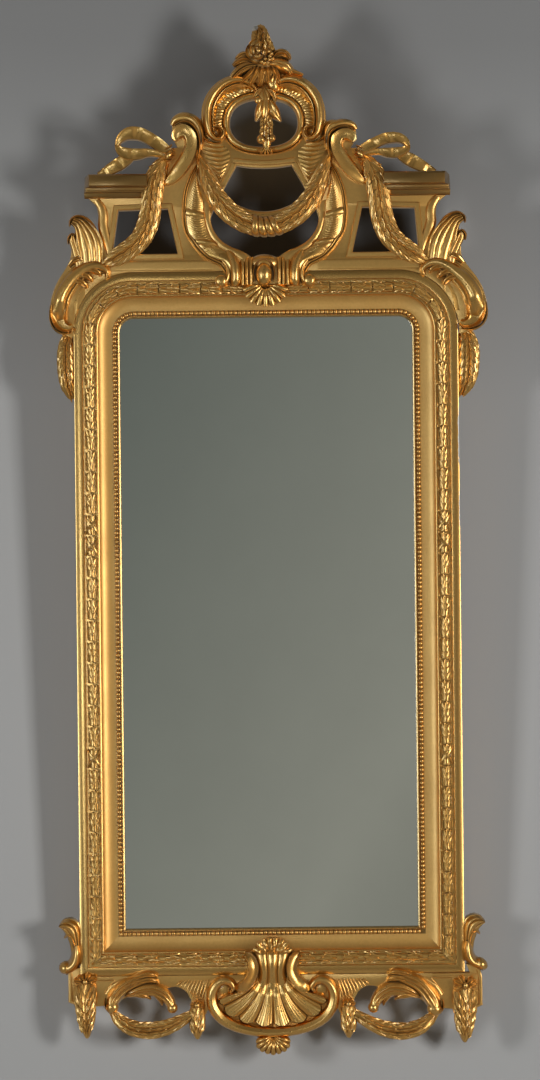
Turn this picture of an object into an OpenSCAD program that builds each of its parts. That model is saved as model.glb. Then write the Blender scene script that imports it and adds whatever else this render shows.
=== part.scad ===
// Carved and gilded pier mirror with a pierced crest and apron.
// Millimetres. X to the right, Z up, the wall at Y = 0 and the front towards -Y.
// The origin is the middle of the back face of the rectangular frame.

/* [Frame] */

// outer width of the rectangular moulded frame
frame_w = 615; // [520:1:720]
// outer height of the rectangular moulded frame
frame_h = 1125; // [900:1:1300]
// width of the moulding from its outer edge to the sight edge
mould_w = 73; // [66:1:84]
// height of the flat outer band above the wall
band_h = 30; // [28:1:36]
// outer radius of the two rounded upper corners
corner_r = 95.5; // [88:0.5:120]

/* [Mirror] */

// thickness of the mirror plate
glass_t = 4; // [3:0.5:5]
// how far the mirror plate reaches behind the lip
glass_lap = 8; // [5:0.5:10]
// thickness of the boards that close the back
backboard_t = 6; // [5:0.5:8]
// height of the backboard joint above the frame's middle
backboard_joint = 120; // [60:5:200]

/* [Crest and apron] */

// rise of the crest above the frame, to the tip of the finial
crest_h = 394; // [340:1:440]
// drop of the apron below the frame, to the tip of the shell pendant
apron_h = 130; // [110:1:150]
// thickness of the pierced boards
board_t = 18; // [14:1:20]
// half width of the oval opening in the crest
oval_a = 54; // [44:1:60]
// half height of the oval opening in the crest
oval_b = 38; // [30:1:42]
// how far the cornice shelf stands in front of the boards
shelf_out = 32; // [20:1:40]

/* [Hangers] */

// height of the ring hinges above the frame's middle
hang_z = 300; // [200:5:360]
// distance of each hanger from the frame's outer edge
hang_inset = 28; // [26:1:32]
// depth of the pocket that holds the folded ring
pocket_d = 8; // [7.5:0.1:9]
// thickness of the ring wire
ring_wire = 3; // [2.5:0.1:3.4]
// outer width of the ring
ring_w = 30; // [28:1:34]
// radial clearance of the ring in its strap
ring_fit = 0.06; // [0.03:0.01:0.1]

/* [Output] */

// the sub-part to draw, or all of them
// facets of a full circle where one is drawn
$fn = 48;

/* [Hidden] */

// colours of the preview
gilt = [0.83, 0.64, 0.30];
pine = [0.72, 0.58, 0.40];
steel = [0.55, 0.56, 0.58];
silver = [0.78, 0.80, 0.80];

// edges of the frame
half_w = frame_w / 2;
half_h = frame_h / 2;
// the ornament is drawn on a frame 615 by 1125 with a crest of 394 and an apron of 130, and follows the real one
kx = frame_w / 615;
crest_k = crest_h / 394;
apron_k = apron_h / 130;

// the moulding, from the outer edge inwards (u) and above the wall (h)
groove_h = band_h - 3;
laurel_u0 = 17;
laurel_u1 = 34;
laurel_h = 7.4;
fillet_u0 = 35;
fillet_u1 = 38;
bead_u1 = mould_w - 4;
bead_u0 = bead_u1 - 8;
seat_h = 16;
lip_h = 19.5;
glass_front = 12;
glass_back = glass_front - glass_t;
board_rabbet = mould_w - 17;
glass_rabbet = mould_w - glass_lap - 1;
glass_u = mould_w - glass_lap;
// free length of the laurel at the middle of the head and of the foot
laurel_gap = 40;
foot_gap = 50;

// front and back of the pierced boards
board_back = band_h - board_t;
face = band_h;
// relief laid on top of a first layer of relief
second = band_h + 8;
// clear height over the laurel
over_laurel = groove_h + laurel_h + 0.1;

// crest and apron battens
batten_w = 34;
batten_t = board_back;
batten_x = 115 * kx;
crest_batten_z0 = half_h - 46;
crest_batten_z1 = half_h + 200 * crest_k;
apron_batten_x = [117 * kx, 293 * kx];
apron_batten_w = 26;
apron_batten_z0 = -half_h + 34;
apron_batten_z1 = -half_h - 34 * apron_k;

// screws
screw_r = 2;
screw_head_r = 4;
screw_head_h = 2.4;
small_screw_r = 1.4;
small_head_r = 2.8;
small_head_h = 1.6;

// hangers
hang_x = half_w - hang_inset;
wire_r = ring_wire / 2;
axis_d = wire_r + 3.1;
knuckle_r = wire_r + ring_fit + 1.3;
knuckle_half = 9;
strap_t = 1.6;
strap_len = 36;
strap_screw_z = [14, 28];
ring_half = ring_w / 2 - wire_r;
ring_side = 12;
pocket_half = 19;
pocket_below = 40;
pocket_above = 42;

// ---------- helpers ----------

// one point of a smooth curve between b and c, at t from 0 to 1
function curve_at(a, b, c, d, t) =
    0.5 * (2 * b + (c - a) * t + (2 * a - 5 * b + 4 * c - d) * t * t + (3 * b - a - 3 * c + d) * t * t * t);

// smooth open curve through the points p, with n steps in each span
function smooth(p, n) = concat(
    [for (i = [0 : len(p) - 2])
        for (k = [0 : n - 1])
            curve_at(p[max(i - 1, 0)], p[i], p[i + 1], p[min(i + 2, len(p) - 1)], k / n)],
    [p[len(p) - 1]]);

function reverse(p) = [for (i = [len(p) - 1 : -1 : 0]) p[i]];
function flip(p) = [for (q = reverse(p)) concat([-q[0]], [for (i = [1 : 1 : len(q) - 1]) q[i]])];
// real height of a drawn point of the crest and of the apron
function crest_z(z) = half_h + (z - 562.5) * crest_k;
function apron_z(z) = -half_h + (z + 562.5) * apron_k;
// moves drawn points to the real frame, and keeps widths and heights
function rest(q) = [for (i = [2 : 1 : len(q) - 1]) q[i]];
function on_crest(p) = [for (q = p) concat([q[0] * kx, crest_z(q[1])], rest(q))];
function on_apron(p) = [for (q = p) concat([q[0] * kx, apron_z(q[1])], rest(q))];
// the same stations with widths that follow the frame's width
function widen(p) = [for (q = p) [q[0], q[1], q[2] * kx, q[3]]];

// draws children at the left, or at the right when s is 1
module at_side(s) {
    mirror([s > 0 ? 1 : 0, 0, 0]) children();
}

// flat piece with the outline p in the XZ plane, from h0 to h1 in front of the wall
module slab(p, h0, h1) {
    translate([0, -h0, 0]) rotate([90, 0, 0]) linear_extrude(height = h1 - h0) polygon(p);
}

// round disc facing the room
module disc(x, z, r, h0, h1) {
    translate([x, -h0, z]) rotate([90, 0, 0]) cylinder(r = r, h = h1 - h0);
}

// box between two corners, given as x, height above the wall and z
module block(x0, x1, h0, h1, z0, z1) {
    translate([x0, -h1, z0]) cube([x1 - x0, h1 - h0, z1 - z0]);
}

// carved stem with a round front and a flat back: stations of x, z, half width and height
module stem(stations, back, closed = false, steps = 3) {
    p = closed ? stations : smooth(stations, steps);
    n = len(p);
    m = 7;
    function prior(i) = closed ? (i + n - 1) % n : max(i - 1, 0);
    function after(i) = closed ? (i + 1) % n : min(i + 1, n - 1);
    function dir(i) = let (d = [p[after(i)][0] - p[prior(i)][0], p[after(i)][1] - p[prior(i)][1]]) d / norm(d);
    pts = [for (i = [0 : n - 1]) for (j = [0 : m - 1])
        let (t = dir(i), a = 180 * j / (m - 1), w = p[i][2] * cos(a))
        [p[i][0] - t[1] * w, -(back + p[i][3] * sin(a)), p[i][1] + t[0] * w]];
    last = closed ? n - 1 : n - 2;
    skin = [for (i = [0 : last]) for (j = [0 : m - 1])
        let (a = i * m + j, b = after(i) * m + j, c = after(i) * m + (j + 1) % m, d = i * m + (j + 1) % m)
        for (f = [[a, b, d], [b, c, d]]) f];
    ends = closed ? [] : [[for (j = [0 : m - 1]) j], [for (j = [m - 1 : -1 : 0]) (n - 1) * m + j]];
    polyhedron(points = pts, faces = concat(skin, ends), convexity = 6);
}

// fluted fan: apex, rim points counter-clockwise from the front, rise at apex and rim, flutes
module fan(apex, rim, back, h_in, h_out, flutes, start = 0.15, steps = 4) {
    p = smooth(rim, 4);
    m = len(p);
    n = steps;
    row = n + 1;
    function flute(i) = abs(sin(180 * flutes * i / (m - 1)));
    function reach(i, j) = (start + (1 - start) * j / n) * (1 - 0.05 * (1 - flute(i)) * j / n);
    function slope(j) = (h_in + (h_out - h_in) * j / n) * (j == n ? 0.6 : 1);
    function rise(i, j) = slope(j) * (1 - 0.3 * (1 - flute(i)) * j / n);
    spots = [for (i = [0 : m - 1]) for (j = [0 : n])
        let (r = reach(i, j))
        [apex[0] + (p[i][0] - apex[0]) * r, apex[1] + (p[i][1] - apex[1]) * r, rise(i, j)]];
    front = [for (s = spots) [s[0], -(back + s[2]), s[1]]];
    rear = [for (s = spots) [s[0], -back, s[1]]];
    c = m * row;
    top = [for (i = [0 : m - 2]) for (j = [0 : n - 1])
        let (a = i * row + j, b = (i + 1) * row + j) for (f = [[a, b, b + 1], [a, b + 1, a + 1]]) f];
    under = [for (f = top) [c + f[0], c + f[2], c + f[1]]];
    rims = [for (i = [0 : m - 2]) for (j = [0, n])
        let (a = i * row + j, b = (i + 1) * row + j, g = [[a, b, c + b], [a, c + b, c + a]])
        for (f = g) j == n ? f : [f[0], f[2], f[1]]];
    sides = [for (i = [0, m - 1]) for (j = [0 : n - 1])
        let (a = i * row + j, g = [[a, a + 1, c + a + 1], [a, c + a + 1, c + a]])
        for (f = g) i == 0 ? f : [f[0], f[2], f[1]]];
    polyhedron(points = concat(front, rear), faces = concat(top, under, rims, sides), convexity = 8);
}

// flat outline of the frame, drawn in by u on every side, with the round upper corners
module frame_outline(u) {
    w = half_w - u;
    h = half_h - u;
    r = corner_r - u;
    union() {
        translate([-w, -h]) square([2 * w, 2 * h - r]);
        translate([-w + r, h - r - 1]) square([2 * w - 2 * r, r + 1]);
        for (s = [-1, 1])
            translate([s * (w - r), h - r]) circle(r = r, $fn = 96);
    }
}

// plate with that outline, between two heights above the wall
module frame_plate(u, h0, h1) {
    translate([0, -h0, 0]) rotate([90, 0, 0]) linear_extrude(height = h1 - h0) frame_outline(u);
}

// countersunk screw whose head is flush with the surface h, driven towards the room
module screw(x, z, h, length, r, head_r, head_h) {
    translate([x, -h, z]) rotate([90, 0, 0]) union() {
        cylinder(r1 = head_r, r2 = r, h = head_h);
        cylinder(r = r, h = length);
    }
}

// ---------- moulded frame ----------

// section of the moulding as u and h
moulding = concat(
    [[0, 0], [0, band_h - 1], [1, band_h], [13, band_h], [14, groove_h], [laurel_u1 + 0.5, groove_h]],
    [[fillet_u0, band_h - 1], [fillet_u1, band_h - 1]],
    [for (a = [0 : 10 : 90]) [
        fillet_u1 + (bead_u0 - fillet_u1) * (1 - cos(a)) ,
        seat_h + (band_h - 2.5 - seat_h) * (1 - sin(a))]],
    [[bead_u1, seat_h], [bead_u1 + 0.5, lip_h], [bead_u1 + 2.2, lip_h], [mould_w, seat_h - 0.5]],
    [[mould_w, glass_front], [glass_rabbet, glass_front], [glass_rabbet, backboard_t]],
    [[board_rabbet, backboard_t], [board_rabbet, 0]]);

laurel_mid = (laurel_u0 + laurel_u1) / 2;
laurel_half = (laurel_u1 - laurel_u0) / 2;
laurel_section = concat([for (a = [0 : 15 : 180])
    [laurel_mid + laurel_half * cos(a), groove_h + laurel_h * sin(a)]]);

bead_mid = (bead_u0 + bead_u1) / 2;
bead_section = [[bead_u0 + 0.4, seat_h], [bead_u1 - 0.2, seat_h], [bead_u1 - 1.2, seat_h + 2.2],
    [bead_mid, seat_h + 3], [bead_u0 + 1.4, seat_h + 2.2]];

// section run along a straight side: -1 left, 1 right
module run_up(section, z0, z1) {
    translate([-half_w, 0, z0]) linear_extrude(height = z1 - z0)
        polygon([for (q = section) [q[0], -q[1]]]);
}

// section run along the head or the foot, with the outer edge at z and turned inwards by way
module run_across(section, x0, x1, z, way) {
    translate([x0, 0, z]) rotate([90, 0, 90]) linear_extrude(height = x1 - x0)
        polygon([for (q = section) [-q[1], -way * q[0]]]);
}

// section turned round the upper right corner
module run_corner(section) {
    translate([half_w - corner_r, 0, half_h - corner_r]) rotate([90, 0, 0])
        rotate_extrude(angle = 90, $fn = 96) polygon([for (q = section) [corner_r - q[0], q[1]]]);
}

mitre_in = mould_w + 1;

// space of the left stile, cut to the mitre at its foot
module stile_zone() {
    slab([[-half_w - 1, -half_h - 1], [-half_w + mitre_in, -half_h + mitre_in],
        [-half_w + mitre_in, half_h - corner_r], [-half_w - 1, half_h - corner_r]], -1, 60);
}

// space of the foot, between the two mitres
module foot_zone() {
    slab([[-half_w - 1, -half_h - 1], [half_w + 1, -half_h - 1],
        [half_w - mitre_in, -half_h + mitre_in], [-half_w + mitre_in, -half_h + mitre_in]], -1, 60);
}

// pocket and screw holes for one hanger in the left stile
module hanger_pocket() {
    block(-hang_x - pocket_half, -hang_x + pocket_half, -1, pocket_d,
        hang_z - pocket_below, hang_z + pocket_above);
    for (z = strap_screw_z)
        disc(-hang_x, hang_z + z, screw_r, 0, pocket_d + 14);
}

// places of the screws that hold the backboards, in the middle of their ledge
ledge_u = (board_rabbet + glass_rabbet) / 2;
side_screw_z = [-430, -250, -70, 170, 300, 430];
end_screw_x = [-150, 0, 150];
module ledge_screws() {
    for (s = [-1, 1])
        for (z = side_screw_z)
            translate([s * (half_w - ledge_u), 0, z * frame_h / 1125]) children();
    for (s = [-1, 1])
        for (x = end_screw_x)
            translate([x * kx, 0, s * (half_h - ledge_u)]) children();
}

module small_screw() {
    screw(0, 0, 0, backboard_t + 7, small_screw_r, small_head_r, small_head_h);
}

module stile() {
    difference() {
        intersection() {
            run_up(moulding, -half_h, half_h - corner_r);
            stile_zone();
        }
        hanger_pocket();
        ledge_screws() small_screw();
        apron_batten_set();
        batten_screw_set();
    }
}

module stile_left() {
    color(gilt) stile();
}

module stile_right() {
    color(gilt) at_side(1) stile();
}

module head_rail() {
    color(gilt) difference() {
        run_across(moulding, -half_w + corner_r, half_w - corner_r, half_h, 1);
        crest_batten_set();
        batten_screw_set();
        ledge_screws() small_screw();
    }
}

module bottom_rail() {
    color(gilt) difference() {
        intersection() {
            run_across(moulding, -half_w, half_w, -half_h, -1);
            foot_zone();
        }
        apron_batten_set();
        batten_screw_set();
        ledge_screws() small_screw();
    }
}

module corner_right() {
    color(gilt) run_corner(moulding);
}

module corner_left() {
    color(gilt) mirror([1, 0, 0]) run_corner(moulding);
}

// laurel rod along the left stile, round the corner and to the gaps in head and foot
module laurel() {
    union() {
        intersection() {
            run_up(laurel_section, -half_h, half_h - corner_r);
            stile_zone();
        }
        mirror([1, 0, 0]) run_corner(laurel_section);
        run_across(laurel_section, -half_w + corner_r, -laurel_gap, half_h, 1);
        intersection() {
            run_across(laurel_section, -half_w, -foot_gap, -half_h, -1);
            foot_zone();
        }
    }
}

module laurel_left() {
    color(gilt) laurel();
}

module laurel_right() {
    color(gilt) at_side(1) laurel();
}

module bead_course() {
    color(gilt) union() {
        for (s = [-1, 1])
            at_side(s) {
                intersection() {
                    run_up(bead_section, -half_h, half_h - corner_r);
                    stile_zone();
                }
                mirror([1, 0, 0]) run_corner(bead_section);
            }
        run_across(bead_section, -half_w + corner_r, half_w - corner_r, half_h, 1);
        intersection() {
            run_across(bead_section, -half_w, half_w, -half_h, -1);
            foot_zone();
        }
    }
}

// ---------- mirror plate and back ----------

module mirror_glass() {
    color(silver) frame_plate(glass_u, glass_back, glass_front);
}

// softwood slips between the mirror plate and the backboards
slip_u = glass_u + 1;
slip_w = 12;
module glass_packing() {
    color(pine) union() {
        for (s = [-1, 1])
            at_side(s)
                block(-half_w + slip_u, -half_w + slip_u + slip_w, backboard_t, glass_back,
                    -half_h + slip_u + slip_w + 4, half_h - corner_r - 20);
        block(-half_w + corner_r + 20, half_w - corner_r - 20, backboard_t, glass_back,
            half_h - slip_u - slip_w, half_h - slip_u);
        block(-half_w + slip_u, half_w - slip_u, backboard_t, glass_back,
            -half_h + slip_u, -half_h + slip_u + slip_w);
    }
}

backboard_u = board_rabbet + 0.5;

// part of the back closed by boards, between two heights
module backboard(z0, z1) {
    difference() {
        intersection() {
            frame_plate(backboard_u, 0, backboard_t);
            block(-half_w, half_w, -1, backboard_t + 1, z0, z1);
        }
        ledge_screws() small_screw();
    }
}

module backboard_upper() {
    color(pine) backboard(backboard_joint + 0.3, half_h);
}

module backboard_lower() {
    color(pine) backboard(-half_h, backboard_joint);
}

module backboard_screws() {
    color(steel) ledge_screws() small_screw();
}

// ---------- battens behind crest and apron ----------

// batten standing on the wall plane
module upright(x, w, z0, z1) {
    block(x - w / 2, x + w / 2, 0, batten_t, z0, z1);
}

module crest_batten_set() {
    for (s = [-1, 1])
        upright(s * batten_x, batten_w, crest_batten_z0, crest_batten_z1);
}

module apron_batten_set() {
    for (s = [-1, 1])
        for (x = apron_batten_x)
            upright(s * x, apron_batten_w, apron_batten_z1, apron_batten_z0);
}

crest_screw_z = [half_h - 24, half_h + 60 * crest_k, half_h + 175 * crest_k];
apron_screw_z = [-half_h + 17, -half_h - 20 * apron_k];
module batten_screw_set() {
    for (s = [-1, 1])
        for (z = crest_screw_z)
            screw(s * batten_x, z, 0, batten_t + 11, screw_r, screw_head_r, screw_head_h);
    for (s = [-1, 1])
        for (x = apron_batten_x)
            for (z = apron_screw_z)
                screw(s * x, z, 0, batten_t + 11, screw_r, screw_head_r, screw_head_h);
}

module crest_battens() {
    color(pine) difference() {
        crest_batten_set();
        batten_screw_set();
    }
}

module apron_battens() {
    color(pine) difference() {
        apron_batten_set();
        batten_screw_set();
    }
}

module batten_screws() {
    color(steel) batten_screw_set();
}

// ---------- crest boards ----------

// line where the side board of the crest meets the web of the ear
ear_line = [[-288, 530], [-288, 545], [-286, 575], [-278, 600], [-265, 625]];
crest_joint = 700;

// edge of the middle opening, from the joint down to the foot of the egg
harp_opening = [[-62, crest_joint], [-79, 668], [-87, 645], [-82, 628], [-70, 612], [-55, 602], [-40, 596],
    [-28, 590], [-20, 583]];

module crest_side() {
    hollow = smooth([[-265, 625], [-267, 640], [-266, 655], [-270, 670], [-284, 684]], 3);
    outline = concat([[0, 530]], smooth(ear_line, 2), hollow,
        [[-284, crest_joint], [-62, crest_joint]], smooth(harp_opening, 3), [[0, 583]]);
    window = [[-234, 662], [-155, 664], [-140, 592], [-243, 592], [-243, 600]];
    difference() {
        slab(on_crest(outline), board_back, face);
        slab(on_crest(window), board_back - 1, face + 1);
        frame_plate(0, -1, face + 1);
        batten_screw_set();
    }
}

module crest_left() {
    color(gilt) crest_side();
}

module crest_right() {
    color(gilt) at_side(1) crest_side();
}

module crest_ring_board() {
    flank = smooth([[-168, crest_joint], [-172, 720], [-166, 742], [-158, 758]], 2);
    volute = smooth([[-138, 762], [-144, 774], [-147, 790], [-143, 802], [-130, 812], [-112, 814],
        [-103, 806]], 2);
    shoulder = smooth([[-99, 808], [-97, 824], [-92, 840], [-80, 858], [-62, 871], [-44, 877]], 2);
    tongue = smooth([[-40, 878], [-28, 888], [-20, 905], [-12, 924], [0, 930]], 2);
    left = concat(flank, volute, shoulder, tongue);
    lower = concat([[-62, crest_joint]], smooth([[-44, 732], [-22, 729], [0, 728]], 2));
    outline = concat(left, flip(left), reverse(flip(lower)), reverse(lower));
    oval = [for (a = [0 : 6 : 354]) [oval_a * cos(a), 800 + oval_b * sin(a)]];
    color(gilt) difference() {
        slab(on_crest(outline), board_back, face);
        slab(on_crest(oval), board_back - 1, face + 1);
        batten_screw_set();
    }
}

// ---------- carving of the crest ----------

// cornice shelf: section as height above the wall and z, plan with a canted outer end
module shelf() {
    out = face + shelf_out;
    section = [[face, 681], [face + 3, 683], [face + 6, 690], [face + 14, 690], [face + 16, 697], [out - 4, 697],
        [out, 699], [out, 714], [out - 4, 717], [board_back, 717], [board_back, crest_joint], [face, crest_joint]];
    plan = [[-288, -board_back + 1], [-288, -face - 8], [-278, -out - 1], [-195, -out - 1], [-195, -board_back + 1]];
    intersection() {
        translate([-320 * kx, 0, 0]) rotate([90, 0, 90]) linear_extrude(height = 200 * kx)
            polygon([for (q = section) [-q[0], crest_z(q[1])]]);
        translate([0, 0, half_h]) linear_extrude(height = crest_h) polygon([for (q = plan) [q[0] * kx, q[1]]]);
    }
}

module shelf_left() {
    color(gilt) shelf();
}

module shelf_right() {
    color(gilt) at_side(1) shelf();
}

module shoulder_scroll() {
    band = [[-157, 704, 4, 10], [-148, 714, 8, 14], [-134, 731, 11, 17], [-123, 750, 12, 18], [-119, 768, 10, 18],
        [-121, 781, 8, 18]];
    cap = [[-148, 793, 4, 6], [-141, 804, 6, 8], [-125, 809, 6, 9], [-112, 803, 5, 9], [-106, 788, 4, 8],
        [-106, 770, 3, 7], [-106, 752, 2, 5]];
    under = smooth([[-146, 790], [-140, 803], [-125, 808], [-111, 802], [-106, 788], [-110, 772]], 2);
    union() {
        stem(on_crest(band), face);
        stem(on_crest(cap), face);
        slab(on_crest(under), face, face + 4);
        disc(-130 * kx, crest_z(782), 14, face, face + 22);
    }
}

module shoulder_scroll_left() {
    color(gilt) shoulder_scroll();
}

module shoulder_scroll_right() {
    color(gilt) at_side(1) shoulder_scroll();
}

// ribbon bow: knot, loop of two strands and a tail that falls to the shelf
module bow() {
    upper = [[-147, 756, 3, 10], [-168, 765, 6, 11], [-186, 778, 8, 12], [-203, 786, 10, 13], [-221, 783, 9, 13],
        [-234, 771, 5, 10]];
    lower = [[-235, 768, 4, 10], [-228, 759, 6, 11], [-210, 755, 7.5, 12], [-190, 757, 6, 12], [-168, 757, 4.5, 11],
        [-147, 752, 3, 10]];
    tail = [[-222, 754, 4, 9], [-232, 743, 7, 10], [-246, 732, 7, 10], [-258, 725, 4.5, 9], [-266, 721.5, 2.5, 7]];
    union() {
        stem(on_crest(upper), face);
        stem(on_crest(lower), face);
        stem(on_crest(tail), face);
        disc(-146 * kx, crest_z(753), 8, face, face + 16);
    }
}

module bow_left() {
    color(gilt) bow();
}

module bow_right() {
    color(gilt) at_side(1) bow();
}

module side_garland() {
    line = [[-160, 741, 6, 10], [-167, 729, 10, 14], [-174, 708, 12, 17], [-180, 684, 13, 18], [-183, 660, 13.5, 18],
        [-187, 640, 13.5, 18], [-196, 620, 13, 18], [-211, 603, 12.5, 18], [-230, 590, 12, 16], [-246, 581, 8, 14],
        [-254, 578, 4.5, 10]];
    stem(on_crest(line), face, steps = 2);
}

module side_garland_left() {
    color(gilt) side_garland();
}

module side_garland_right() {
    color(gilt) at_side(1) side_garland();
}

// ear: web beside the frame, acanthus leaf, round scroll and laurel drop
module ear() {
    web = concat(smooth(ear_line, 2), smooth([[-276, 634], [-296, 630], [-307, 610], [-311, 588], [-320, 569],
        [-331, 552], [-340, 532], [-345, 508], [-342, 486], [-332, 470], [-318, 462], [-300, 458]], 2));
    lobe_top = [[-283, 580, 10, 9], [-283, 602, 14, 12], [-282, 622, 14, 14], [-286, 637, 11, 15], [-295, 644, 6, 13],
        [-304, 644, 3, 9]];
    lobe_side = [[-298, 582, 7, 8], [-303, 600, 7, 9], [-306, 614, 4.5, 10], [-309, 621, 2.5, 8]];
    scroll = [[-256, 562, 4, 8], [-267, 567, 8, 12], [-284, 567, 10.5, 15], [-301, 558, 12, 17], [-317, 544, 12.5, 19],
        [-327, 526, 12.5, 19], [-332, 507, 12.5, 18], [-331, 491, 11, 16]];
    leaf_under = [[-301, 549, 4, 9], [-290, 543, 4.5, 9], [-280, 550, 2.5, 7]];
    drop = [[-316, 466, 5, 14], [-319.5, 450, 11, 22], [-321, 430, 12.5, 24], [-320.5, 405, 12.5, 24],
        [-318.5, 385, 10, 20], [-314, 370, 6, 13], [-309.8, 361, 2.2, 6]];
    difference() {
        union() {
            slab(on_crest(web), board_back, face);
            stem(on_crest(lobe_top), face);
            stem(on_crest(lobe_side), face);
            stem(on_crest(scroll), face);
            stem(on_crest(leaf_under), face);
            stem(on_crest(drop), board_back - 2);
            disc(-324 * kx, crest_z(487), 17, face, face + 14);
        }
        frame_plate(0, -1, face);
    }
}

module ear_left() {
    color(gilt) ear();
}

module ear_right() {
    color(gilt) at_side(1) ear();
}

// one of the two C scrolls that hold the oval
module ring_scroll() {
    line = [[-9, 853, 3, 9], [-19, 862, 5.5, 14], [-36, 868, 8, 17], [-54, 865, 9, 19], [-71, 855, 9, 20],
        [-83, 840, 9, 20], [-89, 821, 8.5, 20], [-90, 802, 8, 19], [-87, 790, 7, 17]];
    union() {
        stem(on_crest(line), face);
        disc(-82 * kx, crest_z(786), 14, face, face + 16);
    }
}

module ring_scroll_left() {
    color(gilt) ring_scroll();
}

module ring_scroll_right() {
    color(gilt) at_side(1) ring_scroll();
}

module ring_border() {
    border = 5.2;
    line = [for (a = [0 : 8 : 352])
        [(oval_a + border + 0.3) * cos(a), 800 + (oval_b + border + 0.3) * sin(a), border, 8]];
    color(gilt) stem(on_crest(line), face, closed = true);
}

module flower_drop() {
    line = [[0, 851, 9, 6], [0, 843, 13, 11], [0, 832, 10, 10], [0, 822, 6, 9], [0, 812, 11, 12], [1, 803, 11, 13],
        [1, 795, 8, 9], [1, 784, 9, 9], [1, 774, 12, 10], [1, 765, 10, 8], [1, 757, 5, 6], [1, 750, 2, 3]];
    petal = [[-4, 818, 3, 8], [-10, 812, 4, 8], [-17, 806, 2, 6]];
    color(gilt) union() {
        stem(on_crest(line), second);
        for (s = [-1, 1])
            at_side(s) stem(on_crest(petal), second);
    }
}

module finial() {
    core = [[-2, 880, 42, 16], [-2, 887, 45, 26], [0, 897, 41, 33], [1, 908, 30, 36], [0, 918, 20, 35],
        [-1, 928, 16.5, 31], [-3, 940, 12, 26], [-5, 951, 8.5, 19], [-5, 957, 3.5, 10]];
    skirt = [[0, 861, 12, 7], [0, 868, 30, 12], [0, 876, 38, 14], [0, 886, 34, 10]];
    leaf_right = [[20, 885, 7, 10], [44, 885, 7, 11], [58, 879, 5, 9], [67, 874, 2, 6]];
    leaf_left = [[-20, 883, 7, 10], [-40, 874, 6, 12], [-55, 863, 3, 8]];
    color(gilt) union() {
        stem(on_crest(core), face, steps = 2);
        stem(on_crest(skirt), second + 12, steps = 2);
        stem(on_crest(leaf_right), second + 12, steps = 2);
        stem(on_crest(leaf_left), second + 12, steps = 2);
    }
}

// ribbed lyre-shaped band beside the middle opening
harp_outer = [[-111, 733], [-121, 716], [-130, 692], [-133, 668], [-133, 645], [-129, 625], [-119, 607], [-111, 596],
    [-99, 584], [-87, 577], [-75, 571], [-66, 561]];
harp_inner = [[-36, 549], [-36, 563], [-46, 580], [-60, 592], [-75, 602], [-88, 618], [-95, 635], [-98, 650],
    [-99, 662], [-98, 676], [-103, 694], [-109, 714]];

module harp() {
    outline = concat(smooth(harp_outer, 2), [[-60, 550]], smooth(harp_inner, 2));
    edge = [for (q = harp_outer) [q[0] + 2.5, q[1], 2.5, 9]];
    union() {
        slab(on_crest(outline), face, face + 6);
        stem(on_crest(edge), face, steps = 2);
        disc(-70 * kx, crest_z(549), 8, over_laurel, over_laurel + 11);
        stem(on_crest([[-62, 566, 3, 10], [-63, 559, 4, 11], [-65, 552, 5, 11]]), over_laurel);
    }
}

module harp_left() {
    color(gilt) harp();
}

module harp_right() {
    color(gilt) at_side(1) harp();
}

// garland that hangs across the middle opening, over a smooth strip of cloth
module swag() {
    left = [[-101, 738, 4, 10], [-96, 722, 8, 14], [-88, 702, 10.5, 18], [-77, 682, 13, 20], [-61, 662, 14, 21],
        [-44, 648, 14, 21], [-22, 637, 14, 21]];
    cloth = [[-62, 676, 3, 5], [-46, 664, 6, 7], [-24, 653, 8, 8]];
    color(gilt) union() {
        stem(on_crest(concat(left, [[0, 633, 14, 21]], flip(left))), face, steps = 2);
        stem(on_crest(concat(cloth, [[0, 650, 9, 9]], flip(cloth))), face - 6, steps = 2);
    }
}

module egg_boss() {
    egg = [[0, 531, 3, 7], [0, 538, 9, 15], [0, 547, 12, 19], [0, 557, 13, 20], [0, 567, 11, 17], [0, 574, 5, 9]];
    color(gilt) union() {
        slab(on_crest([[-33, 547], [-33, 573], [33, 573], [33, 547]]), face, face + 3);
        stem(on_crest(egg), face);
        for (s = [-1, 1])
            at_side(s)
                for (x = [18, 24.5, 30.5])
                    stem(on_crest([[-x, 547, 2, 5], [-x, 556, 3, 9], [-x, 566, 2.8, 8], [-x, 575, 2, 4]]), face);
        difference() {
            disc(0, crest_z(572), 18, face, face + 8);
            block(-30, 30, face - 1, face + 9, half_h - 30, crest_z(572));
        }
    }
}

module shell_drop() {
    rim = [[-37, 534], [-31, 521], [-20, 511], [0, 506], [20, 511], [31, 521], [37, 534]];
    color(gilt) fan([0, crest_z(541)], on_crest(rim), band_h - 1, 12, 8, 8, 0.35);
}

// ---------- apron ----------

module apron_side() {
    eye = smooth([[-268, -610], [-256, -611], [-246, -604], [-234, -597], [-215, -595], [-197, -596], [-186, -590],
        [-172, -584], [-155, -581], [-141, -587], [-132, -598], [-129, -612]], 2);
    foot = [[-130, -622], [-109, -626], [-104, -619], [-96, -626], [-84, -640], [-60, -650], [-32, -656],
        [-18, -666], [0, -670]];
    outline = concat([[0, -545], [-300, -545], [-327, -556], [-327, -604], [-316, -608], [-290, -612]], eye, foot);
    difference() {
        slab(on_apron(outline), board_back, face);
        frame_plate(0, -1, face + 1);
        apron_batten_set();
        batten_screw_set();
    }
}

module apron_left() {
    color(gilt) apron_side();
}

module apron_right() {
    color(gilt) at_side(1) apron_side();
}

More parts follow.
